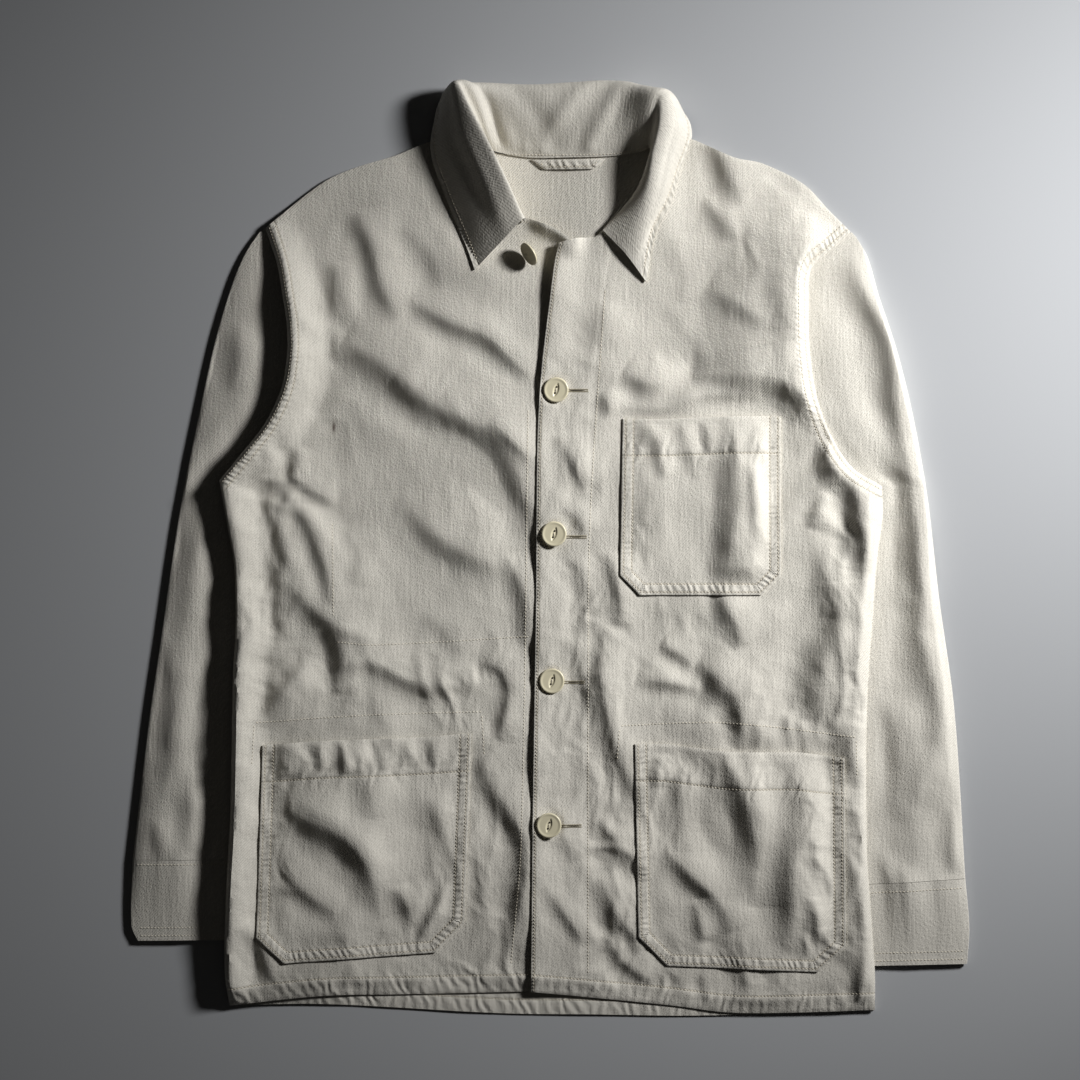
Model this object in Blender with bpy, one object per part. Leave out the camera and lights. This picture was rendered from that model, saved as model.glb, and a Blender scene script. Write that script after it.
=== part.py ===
"""A cotton chore jacket laid flat on a table, buttoned, its sleeves straight down beside it.

+X is to the right seen from above, +Y towards the collar and +Z up; the table is at z = 0.
Every cut piece is a thin wall: a grid of points worked out from the piece's edges, lifted by
its folds, then given its thickness. A piece that lies on another is settled onto it.
"""
import math

import bpy
import bmesh
import numpy as np
from mathutils import Matrix, Vector
from mathutils.bvhtree import BVHTree

# Driving dimensions, in millimetres; the meshes are scaled to metres when they are made.
MM = 0.001
SEAM_GAP = 0.3            # between pieces that are sewn or lie on each other
CLOTH = 1.2               # thickness of a panel
CUFF_CLOTH = 1.6          # the cuff's two plies
COLLAR_CLOTH = 2.0        # the collar's two plies
SLEEVE_FLAT = 4.2         # height of a sleeve where the body lies on it
BUTTON_DIAMETER = 21.6
BUTTON_HEIGHT = 3.1
CENTRE_Y = 2.0            # every piece is moved by this, so that the box is centred on the origin
STAND_OFF = 2.4           # how far the overlapping front's edge stands off the other
STAND_OFF_TOP = 3.6       # how much more it does so at the neck

# Seen from above, "west" is the wearer's right half and "east" the left half.
TIP_WEST = (-246, 275)
TIP_EAST = (260, 272)
NECK_CENTRE = (10, 335)
NECK_WEST = (-66, 357)
NECK_EAST = (96, 358)
ARMPIT_WEST = (-283, 57)
ARMPIT_EAST = (285, 52)
HEM_WEST = (-277, -397)
HEM_EAST = (281, -401)

SHOULDER_WEST = [TIP_WEST, (-210, 305), (-189, 319), (-164, 329), (-134, 338), (-104, 350), NECK_WEST]
SHOULDER_EAST = [TIP_EAST, (241, 291), (220, 313), (184, 331), (159, 336), (123, 352), NECK_EAST]
ARMHOLE_WEST = [TIP_WEST, (-236, 245), (-231, 219), (-226.5, 188), (-226.5, 160), (-230, 135),
                (-242, 108), (-266, 77), ARMPIT_WEST]
ARMHOLE_EAST = [TIP_EAST, (242, 256), (226, 240), (223.5, 211), (224.6, 167), (229, 127),
                (241, 94.6), (259, 68), ARMPIT_EAST]
SIDE_WEST = [ARMPIT_WEST, (-279, 20), (-273, -16), (-271.6, -60), (-274, -117), (-276.5, -235),
             (-280, -300), (-281, -370), HEM_WEST]
SIDE_EAST = [ARMPIT_EAST, (287, 24), (283, -9), (279, -60), (274, -141), (274, -260), (278, -325),
             (281, -370), HEM_EAST]
BACK_NECK = [NECK_WEST, (-52, 342), (-15, 339.5), (54, 340.5), (84, 346), NECK_EAST]
BACK_HEM = [HEM_WEST, (-196, -396), (-42, -404), (35, -405), (130, -406), HEM_EAST]

# Under-front: neckline, the step past the collar's end, front edge and hem.
NECKLINE_WEST = [NECK_WEST, (-60, 338), (-52, 319), (-36, 299), (-18, 283.5)]
STEP_WEST = [(-18, 283.5), (6, 274), (21.6, 262)]
EDGE_WEST = [(21.6, 262), (12, 60), (10, -150), (9, -384)]
FRONT_HEM_WEST = [HEM_WEST, (-196, -388.5), (-136, -387.5), (-18, -385), (9, -384)]

# Over-front.
NECKLINE_EAST = [NECK_EAST, (88, 340), (79, 322), (68, 303), (56, 287), (45, 273)]
STEP_EAST = [(45, 273), (39, 268), (24, 266.5), (8, 262.5)]
EDGE_EAST = [(8, 262.5), (4.3, 247), (0, 214), (-7, 156), (-10.5, 101), (-11.5, 35), (-12, -44),
             (-14.7, -219), (-16.4, -385)]
FRONT_HEM_EAST = [HEM_EAST, (200, -403.5), (153, -403), (105, -397), (34.6, -390), (-16.4, -385)]

# Sleeves: the outer fold, and the inner fold that starts at the armpit and lies hidden under
# the body.
OUTER_WEST = [(-251, 272), (-262, 256), (-273, 232), (-288, 184), (-299.5, 134), (-320, 32),
              (-336.5, -79), (-347, -151), (-361, -271)]
INNER_WEST = [(-283.6, 56.4), (-277, 46), (-262, 30), (-238, 8), (-213, -20), (-194, -58),
              (-184, -105), (-181, -160), (-190, -215), (-212, -271)]
CUFF_OUTER_WEST = [(-361, -271.3), (-362.5, -328), (-357, -341)]
CUFF_INNER_WEST = [(-212, -271.3), (-217, -320), (-221, -340)]
OUTER_EAST = [(264.5, 268.5), (275, 250), (284, 219), (301, 167), (315, 109), (327, 40),
              (337, -46), (350, -141), (359.5, -287)]
INNER_EAST = [(286, 51.4), (280, 41), (265, 25), (241, 3), (216, -26), (196, -66),
              (186, -115), (183, -175), (191, -235), (212, -296)]
CUFF_TILT_WEST = 0
CUFF_TILT_EAST = 9
CUFF_OUTER_EAST = [(359.5, -287.3), (363, -330), (361, -361)]
CUFF_INNER_EAST = [(212, -296.3), (217, -340), (221, -364)]

# How far the back is lifted to clear the hidden sleeve: y, and the x out from which the lift
# is full, on both sides.
LIFT_LIMIT = [(112, 300), (84, 264), (57, 236), (30, 218), (5, 194), (-22, 173), (-60, 157),
              (-110, 149), (-170, 147), (-235, 155), (-296, 174), (-372, 182), (-410, 205)]
LIFT_FADE = 34

# Armhole seam of each sleeve: share of the way from tip to armpit, how far the upper ply is
# tucked under the front (negative: beside it), and the height of its upper face.
ARMHOLE_PLY_WEST = [(0, -1.8, 3.4), (0.10, -1.8, 4.0), (0.24, 4.5, 6.4), (0.5, 6.0, 7.4),
                    (0.66, 4.0, 6.2), (0.8, -1.8, 4.6), (1, -1.2, 4.2)]
ARMHOLE_PLY_EAST = [(0, -1.9, 3.6), (0.10, -1.9, 4.6), (0.25, -1.9, 6.4), (0.55, -1.9, 6.4),
                    (0.72, -1.9, 5.4), (0.85, -1.9, 4.4), (1, -1.2, 4.2)]

# Roll of each front's outer edge: y, lift of the very edge, crest, and how far in it fades.
ROLL_WEST = [(280, 0, 1.5, 30), (250, 2.5, 5, 30), (215, 5.6, 8.5, 34), (165, 6.2, 9.5, 36),
             (110, 3.8, 9.5, 34), (57, 0.2, 9.5, 30), (0, 0, 9.5, 28), (-120, 0, 9, 26),
             (-300, 0, 9, 24), (-380, 0, 6, 24), (-400, 0, 4, 24)]
ROLL_EAST = [(275, 0.4, 2, 34), (250, 2.2, 4.2, 36), (211, 3.6, 6.5, 40), (150, 3.6, 6.5, 36),
             (95, 1.8, 6.5, 34), (52, 0.2, 9, 32), (0, 0, 10, 30), (-120, 0, 9, 26),
             (-300, 0, 9, 24), (-380, 0, 6, 24), (-405, 0, 4, 24)]
ROLL_RADIUS = 7

# Folds: start x, start y, end x, end y, half width, height.
FOLDS_WEST = [
    (-216, 268, -219, 195, 10, 3.2),
    (-186, 262, -188, 135, 10, 3.0),
    (-172, 300, -150, 262, 13, 3.0),
    (-150, 262, -80, 196, 14, 4.9),
    (-80, 196, -30, 160, 13, 4.1),
    (-172, 178, -120, 152, 15, 4.9),
    (-120, 152, -62, 112, 15, 5.9),
    (-62, 112, -30, 72, 12, 4.1),
    (-128, 40, -84, 8, 16, 3.2),
    (-226, 62, -186, -24, 12, 4.6),
    (-216, -16, -160, -62, 13, 4.9),
    (-160, -62, -70, -104, 16, 4.6),
    (-205, -104, -150, -108, 14, 3.5),
    (-52, -88, -42, -140, 9, 3.0),
    (-56, -190, -34, -236, 9, 3.0),
]
FOLDS_EAST = [
    (142, 316, 166, 276, 10, 3.0),
    (214, 292, 214, 190, 16, 4.9),
    (214, 190, 228, 120, 14, 4.3),
    (58, 152, 104, 146, 10, 3.0),
    (132, 164, 198, 158, 13, 4.6),
    (198, 158, 242, 112, 12, 4.6),
    (256, 74, 244, -60, 13, 5.1),
    (244, -60, 238, -150, 12, 4.6),
    (70, -44, 62, -100, 12, 3.5),
    (110, -84, 146, -92, 10, 3.2),
    (146, -92, 178, -128, 12, 4.3),
    (178, -128, 176, -158, 9, 3.2),
    (60, -224, 84, -262, 10, 3.0),
    (58, -268, 90, -322, 11, 3.5),
    (4, -290, 34, -330, 10, 2.7),
]
FOLDS_SLEEVE_WEST = [(-300, 150, -312, 90, 12, 1.6), (-318, -150, -322, -260, 12, 1.6),
                     (-322, 20, -326, -60, 10, 1.4)]
FOLDS_SLEEVE_EAST = [(300, 120, 314, 40, 12, 1.6), (328, -60, 332, -160, 13, 2.0),
                     (308, -180, 318, -280, 12, 1.8)]

# Pockets: upper left, upper right, lower right, lower left corner and the corner cut.
POCKET_CHEST = [(63, 110.5), (199.5, 112.5), (199.5, -42), (60.5, -42), 17]
POCKET_HIP_RIGHT = [(-248, -171.5), (-68, -161.5), (-75, -349.5), (-254, -361.5), 24]
POCKET_HIP_LEFT = [(73.5, -170.5), (254, -182), (255.5, -368.5), (77, -361.5), 24]
POCKET_PUFF = 1.6
POCKET_FOLDS = {
    "pocket_chest": [(150, 96, 154, 0, 11, 2.6), (92, 100, 92, 60, 8, 1.2)],
    "pocket_hip_right": [(-226, -226, -176, -262, 13, 3.2), (-176, -262, -150, -312, 12, 3.2),
                         (-84, -288, -110, -330, 9, 1.8)],
    "pocket_hip_left": [(212, -190, 208, -350, 11, 3.6), (168, -188, 174, -300, 11, 3.0),
                        (126, -300, 146, -338, 9, 2.2)],
}

# Collar: seam x, y and rise off the panel; roll x, y, z; outer edge x, y, z; direction in
# which the leaf falls (degrees), bend at the roll and, behind the neck, the tuck under.
COLLAR = [
    (-21, 281.5, 0.7, -24, 281, 20, -65, 239, 8.5, 225, 6, 0),
    (-40, 296, 1.0, -36, 309, 30, -75, 266, 10, 226, 9, 0),
    (-57, 322, 1.0, -51, 341, 37, -91, 305, 11.5, 222, 12, 0),
    (-63, 338, 1.0, -65, 368, 36, -102, 338, 12, 210, 13, 0),
    (-63, 346, 1.5, -74, 386, 31, -100, 362, 10, 180, 13, 0),
    (-56, 347, 1.6, -70, 384, 24, -86, 380, 4, 135, 17, 10),
    (-44, 341, 1.4, -50, 381, 19, -50, 374, 1.4, 96, 22, 28),
    (-15, 336.5, 1.4, -14, 382, 18, -14, 374, 1.4, 90, 23, 30),
    (20, 336.5, 1.4, 22, 384, 18, 22, 376, 1.4, 90, 23, 30),
    (54, 337.5, 1.4, 58, 385, 19, 58, 377, 1.4, 88, 23, 30),
    (76, 341, 1.4, 82, 384, 23, 88, 378, 2.2, 72, 20, 22),
    (86, 345, 1.6, 96, 382, 33, 112, 374, 6, 30, 13, 4),
    (87.5, 337, 1.5, 96, 364, 39, 121, 358, 8, 5, 9, 0),
    (82, 321, 0.8, 90, 338, 40, 110, 328, 8, -15, 8, 0),
    (72, 303, 0.8, 85, 310, 38, 98, 299, 8, -28, 8, 0),
    (59, 287, 0.8, 75, 283, 32, 88, 268, 7.5, -36, 8, 0),
    (46, 273, 0.8, 60, 259, 24, 83, 229, 7, -45, 6, 0),
]

LOOP = [(-16.4, 334.6), (48, 334.6), (37, 326), (-5.6, 326)]
LOOP_CLOTH = 1.5

BUTTONS = [(5.2, 135.2), (3.5, 10.8), (1.7, -116.2), (-0.9, -240.6)]
FREE_BUTTON = (-17, 253)
FREE_BUTTON_TILT = 66

ECRU = (0.760, 0.722, 0.602, 1)
CREAM = (0.812, 0.757, 0.580, 1)
CLOTH_ROUGHNESS = 0.92
BUTTON_ROUGHNESS = 0.35


def clear_scene():
    for thing in list(bpy.data.objects):
        bpy.data.objects.remove(thing, do_unlink=True)


def material(name, colour, roughness):
    made = bpy.data.materials.new(name)
    made.use_nodes = True
    shader = made.node_tree.nodes["Principled BSDF"]
    shader.inputs["Base Color"].default_value = colour
    shader.inputs["Roughness"].default_value = roughness
    shader.inputs["Metallic"].default_value = 0.0
    made.diffuse_color = colour
    return made


def smooth(share):
    """0 to 1 with a soft start and end."""
    share = np.clip(share, 0.0, 1.0)
    return share * share * (3 - 2 * share)


def curve(points, shares):
    """Points on a smooth curve through the given ones, at shares of its length."""
    knots = np.array(points, dtype=float)
    ends = np.vstack([2 * knots[0] - knots[1], knots, 2 * knots[-1] - knots[-2]])
    fine = []
    for before, start, end, after in zip(ends, ends[1:], ends[2:], ends[3:]):
        run = np.linalg.norm(end - start)
        leave = (end - before) / np.linalg.norm(end - before) * run
        arrive = (after - start) / np.linalg.norm(after - start) * run
        for t in np.linspace(0, 1, 12, endpoint=False):
            fine.append((2 * t**3 - 3 * t**2 + 1) * start + (t**3 - 2 * t**2 + t) * leave
                        + (3 * t**2 - 2 * t**3) * end + (t**3 - t**2) * arrive)
    fine.append(knots[-1])
    fine = np.array(fine)
    length = np.concatenate([[0], np.cumsum(np.linalg.norm(np.diff(fine, axis=0), axis=1))])
    where = np.asarray(shares) * length[-1]
    return np.column_stack([np.interp(where, length, fine[:, axis]) for axis in range(knots.shape[1])])


def edge(*stretches):
    """Join smooth stretches, each a list of points and the shares to take, into one edge."""
    parts = [curve(points, shares) for points, shares in stretches]
    return np.vstack([parts[0]] + [part[1:] for part in parts[1:]])


def shares_along(points):
    steps = np.linalg.norm(np.diff(points, axis=0), axis=1)
    along = np.concatenate([[0], np.cumsum(steps)])
    return along / along[-1]


def patch(top, bottom, left, right):
    """Fill four edges with a grid; rows run from top to bottom, columns from left to right."""
    u = shares_along(top)[None, :, None]
    v = shares_along(left)[:, None, None]
    across = (1 - v) * top[None] + v * bottom[None]
    down = (1 - u) * left[:, None] + u * right[:, None]
    corners = ((1 - u) * (1 - v) * top[0] + u * (1 - v) * top[-1]
               + (1 - u) * v * bottom[0] + u * v * bottom[-1])
    return across + down - corners


def table(rows, at, column):
    """Read one column of a table at the values given, the first column falling or rising."""
    rows = np.array(sorted(rows), dtype=float)
    return np.interp(at, rows[:, 0], rows[:, column])


def folds(x, y, rows):
    """Height that a list of folds adds at each point: soft ridges with tapered ends."""
    height = np.zeros_like(x)
    for x0, y0, x1, y1, half_width, rise in rows:
        run = math.hypot(x1 - x0, y1 - y0)
        ahead = ((x - x0) * (x1 - x0) + (y - y0) * (y1 - y0)) / run
        beyond = np.maximum(np.maximum(-ahead, ahead - run), 0)
        aside = ((x - x0) * (y1 - y0) - (y - y0) * (x1 - x0)) / run
        ridge = rise * np.exp(-((aside / half_width) ** 2) - (beyond / (1.3 * half_width)) ** 2)
        height = np.maximum(height, ridge)
    return height


def back_lift(x, y):
    """Height of the back's lower face over the table: raised where a sleeve is beneath."""
    limit = table(LIFT_LIMIT, y, 1)
    return (SLEEVE_FLAT + SEAM_GAP) * smooth((np.abs(x) - limit + LIFT_FADE) / LIFT_FADE)


def edge_roll(rows, y, distance):
    """Lift of a front near its outer edge: up quickly to a crest, then slowly down again."""
    lift = table(rows, y, 1)
    crest = table(rows, y, 2)
    fade = table(rows, y, 3)
    climb = np.clip(distance / ROLL_RADIUS, 0, 1)
    rising = lift + (crest - lift) * np.sqrt(1 - (1 - climb) ** 2)
    return rising * (1 - smooth((distance - ROLL_RADIUS) / fade))


def mesh_heights(x, y, below):
    """Height of the highest of the meshes below at each point, -1 where there is none."""
    heights = np.full(x.shape, -1.0)
    down = Vector((0, 0, -1))
    for index in np.ndindex(x.shape):
        start = Vector((x[index] * MM, y[index] * MM, 1.0))
        for tree in below:
            hit = tree.ray_cast(start, down)[0]
            if hit is not None:
                heights[index] = max(heights[index], hit.z / MM)
    return heights


def settle(grid, below, gap=SEAM_GAP, steps=5, rounds=5):
    """Raise a sheet's points until each of its facets clears what lies beneath it."""
    s, t = [part.ravel() for part in np.meshgrid(np.linspace(0, 1, steps), np.linspace(0, 1, steps))]
    weights = [(1 - s) * (1 - t), s * (1 - t), s * t, (1 - s) * t]
    corners = [(slice(None, -1), slice(None, -1)), (slice(None, -1), slice(1, None)),
               (slice(1, None), slice(1, None)), (slice(1, None), slice(None, -1))]
    plan = sum(grid[corner][:, :, None, :2] * weight[None, None, :, None]
               for corner, weight in zip(corners, weights))
    floor = mesh_heights(plan[..., 0], plan[..., 1], below) + gap
    one_way = np.where(s >= t, s - t, 0), np.where(s < t, t - s, 0)
    first = [1 - np.maximum(s, t), one_way[0], np.minimum(s, t), one_way[1]]
    flipped = 1 - s
    other_way = np.where(flipped >= t, flipped - t, 0), np.where(flipped < t, t - flipped, 0)
    second = [other_way[0], 1 - np.maximum(flipped, t), other_way[1], np.minimum(flipped, t)]
    for _ in range(rounds):
        low = np.full(floor.shape, np.inf)
        for split in (first, second):
            level = sum(grid[corner][:, :, None, 2] * weight[None, None, :]
                        for corner, weight in zip(corners, split))
            low = np.minimum(low, level)
        short = np.maximum(floor - low, 0)
        raise_by = np.zeros(grid.shape[:2])
        for corner, weight in zip(corners, weights):
            need = (short * (0.25 + 0.75 * weight[None, None, :])).max(axis=2)
            raise_by[corner] = np.maximum(raise_by[corner], need)
        grid[..., 2] += raise_by * 1.05
    return grid


def finish(name, bm, colour, roughness, wall=None, offset=1.0):
    mesh = bpy.data.meshes.new(name)
    bm.to_mesh(mesh)
    bm.free()
    mesh.shade_smooth()
    mesh.set_sharp_from_angle(angle=math.radians(50))
    piece = bpy.data.objects.new(name, mesh)
    bpy.context.scene.collection.objects.link(piece)
    mesh.materials.append(material(name + "_finish", colour, roughness))
    if wall:
        solidify = piece.modifiers.new("wall", 'SOLIDIFY')
        solidify.thickness = wall * MM
        solidify.offset = offset
        solidify.use_even_offset = True
    return piece


def faces_up(grid):
    """True where a grid's first cell, taken across and then down, turns anticlockwise from above."""
    across = grid[0, 1] - grid[0, 0]
    down = grid[1, 0] - grid[0, 0]
    return across[0] * down[1] - across[1] * down[0] > 0


def grid_mesh(grid):
    """A bmesh grid whose points are moved to the sheet's points, faces up."""
    if not faces_up(grid):
        grid = grid[::-1]
    rows, columns = grid.shape[:2]
    bm = bmesh.new()
    bmesh.ops.create_grid(bm, x_segments=columns - 1, y_segments=rows - 1, size=1)
    for vert, point in zip(bm.verts, grid.reshape(-1, 3)):
        vert.co = Vector(point * MM)
    return bm


def sheet(name, grid, wall=CLOTH, offset=1.0):
    return finish(name, grid_mesh(grid), ECRU, CLOTH_ROUGHNESS, wall, offset)


def tree_of(*pieces):
    """Search trees of the finished pieces, for settling what lies on them."""
    bpy.context.view_layer.update()
    graph = bpy.context.evaluated_depsgraph_get()
    return [BVHTree.FromObject(piece, graph) for piece in pieces]


FINE_TO_WIDE = [0, 0.011, 0.032, 0.07, 0.125, 0.2, 0.3, 0.43, 0.57, 0.71, 0.85, 1]
NECKLINE_STEPS = [0, 0.2, 0.4, 0.6, 0.8, 1]
STEP_STEPS = [0, 0.5, 1]
ARMHOLE_STEPS = np.linspace(0, 1, 12)
SIDE_STEPS = np.linspace(0, 1, 24)


def front_plan(shoulder, neckline, step, armhole, side, centre, hem):
    top = edge((shoulder, FINE_TO_WIDE), (neckline, NECKLINE_STEPS), (step, STEP_STEPS))
    outer = edge((armhole, ARMHOLE_STEPS), (side, SIDE_STEPS))
    bottom = curve(hem, shares_along(top))
    inner = curve(centre, shares_along(outer))
    return patch(top, bottom, outer, inner)


def front(name, plan, roll, fold_rows, below, overlap=None):
    """A front panel: on the back, over the sleeve, rolled at its outer edge and folded."""
    x, y = plan[..., 0], plan[..., 1]
    outer_distance = np.linalg.norm(plan - plan[:, :1], axis=2)
    hem_distance = np.linalg.norm(plan - plan[-1:], axis=2)
    neck_fade = smooth((np.hypot(x - NECK_CENTRE[0], y - NECK_CENTRE[1]) - 100) / 45)
    height = back_lift(x, y) + CLOTH + SEAM_GAP
    height += edge_roll(roll, y, outer_distance) * smooth(hem_distance / 26 + 0.35)
    height += folds(x, y, fold_rows) * smooth(hem_distance / 40) * smooth(outer_distance / 18) * neck_fade
    if overlap:
        height += overlap(x, y)
    return sheet(name, settle(np.dstack([x, y, height]), below))


def over_other_front(x, y):
    """The overlapping front lies on the other and stands off it a little at its own edge."""
    centre = np.interp(y, [p[1] for p in reversed(EDGE_EAST)], [p[0] for p in reversed(EDGE_EAST)])
    inward = x - centre
    overlap = (CLOTH + SEAM_GAP) * (1 - smooth((x - 42) / 34))
    lifted = STAND_OFF + STAND_OFF_TOP * smooth((y - 180) / 60)
    return overlap + lifted * (1 - smooth(inward / 30))


def back():
    bottom_shares = np.linspace(0, 1, 8)
    top = edge((SHOULDER_WEST, bottom_shares), (BACK_NECK, np.linspace(0, 1, 9)),
               (SHOULDER_EAST[::-1], bottom_shares))
    left = edge((ARMHOLE_WEST, ARMHOLE_STEPS), (SIDE_WEST, np.linspace(0, 1, 12)))
    right = edge((ARMHOLE_EAST, ARMHOLE_STEPS), (SIDE_EAST, np.linspace(0, 1, 12)))
    plan = patch(top, curve(BACK_HEM, shares_along(top)), left, right)
    x, y = plan[..., 0], plan[..., 1]
    return np.dstack([x, y, back_lift(x, y)])


# Shares of the way from the outer fold to the inner one, over the upper ply and back.
UPPER_SHARES = [1, 0.97, 0.9, 0.8, 0.7, 0.6, 0.5, 0.4, 0.3, 0.2, 0.11, 0.035, 0]
UNDER_SHARES = [0.03, 0.11, 0.28, 0.46, 0.65, 0.85, 0.97, 1]
FOLD_STEPS = [0.035, 0.08, 0.135, 0.195, 0.26, 0.33, 0.4, 0.475, 0.55, 0.625, 0.7, 0.775, 0.85,
              0.925, 1]
CROWN = [(0, 1), (0.06, 4), (0.2, 5.3), (1, 5.3)]
CROWN_ROUNDING = 14       # from the outer fold to the full height
BODY_SHADE = 14           # the sleeve stays flat this far out from the body
BODY_SHADE_FADE = 20      # and is at its full height this much further out
LOWER_TUCK = 1.2          # the lower ply's armhole edge, outside the body's


def tube(name, outer, wall, closed_from=0):
    """A flattened tube. A row runs over the upper ply and back under the lower one; rows from
    closed_from on meet again at the inner fold, and those before it leave the armhole open."""
    shares = np.array(UPPER_SHARES + UNDER_SHARES)
    fold = UPPER_SHARES.index(0)
    across = outer[:, 0, :2] - outer[:, fold, :2]
    across /= np.maximum(np.linalg.norm(across, axis=1), 0.001)[:, None]
    inner = outer.copy()
    draw_in = wall * 1.2 * (1 - 2 * shares)[None, :] * np.ones((len(outer), 1))
    draw_in[:closed_from] = np.maximum(draw_in[:closed_from], 0)
    inner[..., :2] += across[:, None] * draw_in[..., None]
    inner[:, :fold, 2] -= wall
    inner[:, fold + 1:, 2] += wall
    inner[closed_from:, (0, -1), 2] = outer[closed_from:, (0, -1), 2]

    if not faces_up(outer):
        outer, inner = outer[::-1], inner[::-1]
    bm = grid_mesh(outer)
    place = bm.verts.layers.int.new("place")
    for number, vert in enumerate(bm.verts):
        vert[place] = number
    bmesh.ops.remove_doubles(bm, verts=bm.verts, dist=0.00001)
    made = bmesh.ops.extrude_face_region(bm, geom=list(bm.faces), use_keep_orig=True)
    points = inner.reshape(-1, 3)
    for vert in made["geom"]:
        if isinstance(vert, bmesh.types.BMVert):
            vert.co = Vector(points[vert[place]] * MM)
    bmesh.ops.recalc_face_normals(bm, faces=bm.faces)
    return finish(name, bm, ECRU, CLOTH_ROUGHNESS)


def outside_body(point, armhole, side):
    """How far outside the body's outline a point lies, sideways."""
    outline = np.array(armhole + side[1:], dtype=float)
    limit = np.interp(-point[1], -outline[:, 1], np.abs(outline[:, 0]))
    return abs(point[0]) - limit


def sleeve(outer, inner, tilt, armhole, side, ply_rows, fold_rows):
    """Rows of a flattened sleeve, from the shoulder tip to the cuff seam."""
    seam = curve(armhole, ARMHOLE_STEPS)
    hidden = curve(inner, FOLD_STEPS)
    ends = np.vstack([seam[:-1], inner[:1], hidden])
    closed_from = len(seam) - 1
    outward = np.sign(armhole[0][0])
    fold_line = curve(outer, np.linspace(0, 1, 80))
    rows = []
    for k, end in enumerate(ends):
        level = end[1] + tilt * max(k - closed_from, 0) / (len(ends) - 1 - closed_from)
        start = np.array([np.interp(-level, -fold_line[:, 1], fold_line[:, 0]), min(level, outer[0][1])])
        share = min(k / closed_from, 1)
        along = k / (len(ends) - 1)
        tuck, held = table(ply_rows, share, 1), table(ply_rows, share, 2)
        is_open = k < closed_from
        upper_end = end - np.array([outward * tuck, 0]) if is_open else end
        lower_end = end + np.array([outward * LOWER_TUCK, 0]) if is_open else end
        width = np.linalg.norm(end - start)
        row = []
        for w in UPPER_SHARES:
            point = start + (upper_end - start) * w
            flat = smooth((outside_body(point, armhole, side) - BODY_SHADE) / BODY_SHADE_FADE)
            rounding = math.sqrt(1 - (1 - min(w * width / CROWN_ROUNDING, 1)) ** 2)
            rise = table(CROWN, along, 1) + folds(point[:1], point[1:], fold_rows)[0]
            beside = smooth((share - 0.55) / 0.45)
            free = SLEEVE_FLAT + rise * rounding * (1 - beside * (1 - flat))
            hold = 1 - smooth((1 - w) * width / 26) if is_open else 0
            edge_row = w == 0 or (w == 1 and not is_open)
            height = SLEEVE_FLAT / 2 if edge_row else held * hold + free * (1 - hold)
            row.append((point[0], point[1], height))
        for w in UNDER_SHARES:
            point = start + (lower_end - start) * w
            height = SLEEVE_FLAT / 2 if w == 1 and not is_open else 0
            row.append((point[0], point[1], height))
        rows.append(row)
    return np.array(rows), closed_from


def cuff(outer, inner, last_row):
    """Rows of the cuff, which carries on the sleeve's section."""
    outer_line = curve(outer, np.linspace(0, 1, 5))
    inner_line = curve(inner, np.linspace(0, 1, 5))
    shares = np.array(UPPER_SHARES + UNDER_SHARES)[:, None]
    return np.array([np.column_stack([start + (end - start) * shares, last_row[:, 2]])
                     for start, end in zip(outer_line, inner_line)])


def pocket(name, corners, below):
    """A patch pocket settled on its front, its lower corners cut off."""
    upper_left, upper_right, lower_right, lower_left, cut = corners
    around = (upper_left, upper_right, lower_right, lower_left)
    sides = [np.array(point, dtype=float) for point in around]
    height = np.linalg.norm(sides[3] - sides[0])
    width = np.linalg.norm(sides[2] - sides[3])
    across = np.linspace(0, 1, 10)
    down = np.concatenate([np.linspace(0, 1 - cut / height, 9), [1 - cut / height / 2, 1]])
    top = sides[0] + (sides[1] - sides[0]) * across[:, None]
    bottom = sides[3] + (sides[2] - sides[3]) * across[:, None]
    plan = top[None] + (bottom - top)[None] * down[:, None, None]
    for row, v in enumerate(down):
        trim = max(cut - (1 - v) * height, 0)
        centre = (plan[row, 0] + plan[row, -1]) / 2
        plan[row] = centre + (plan[row] - centre) * (1 - 2 * trim / width)
    x, y = plan[..., 0], plan[..., 1]
    u = across[None, :] * np.ones((len(down), 1))
    v = down[:, None] * np.ones((1, len(across)))
    inside = smooth(np.minimum(np.minimum(u, 1 - u) * 7, (1 - v) * 7))
    height_map = mesh_heights(x, y, below) + SEAM_GAP
    height_map += (POCKET_PUFF + folds(x, y, POCKET_FOLDS[name])) * inside
    return sheet(name, settle(np.dstack([x, y, height_map]), below))


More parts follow.
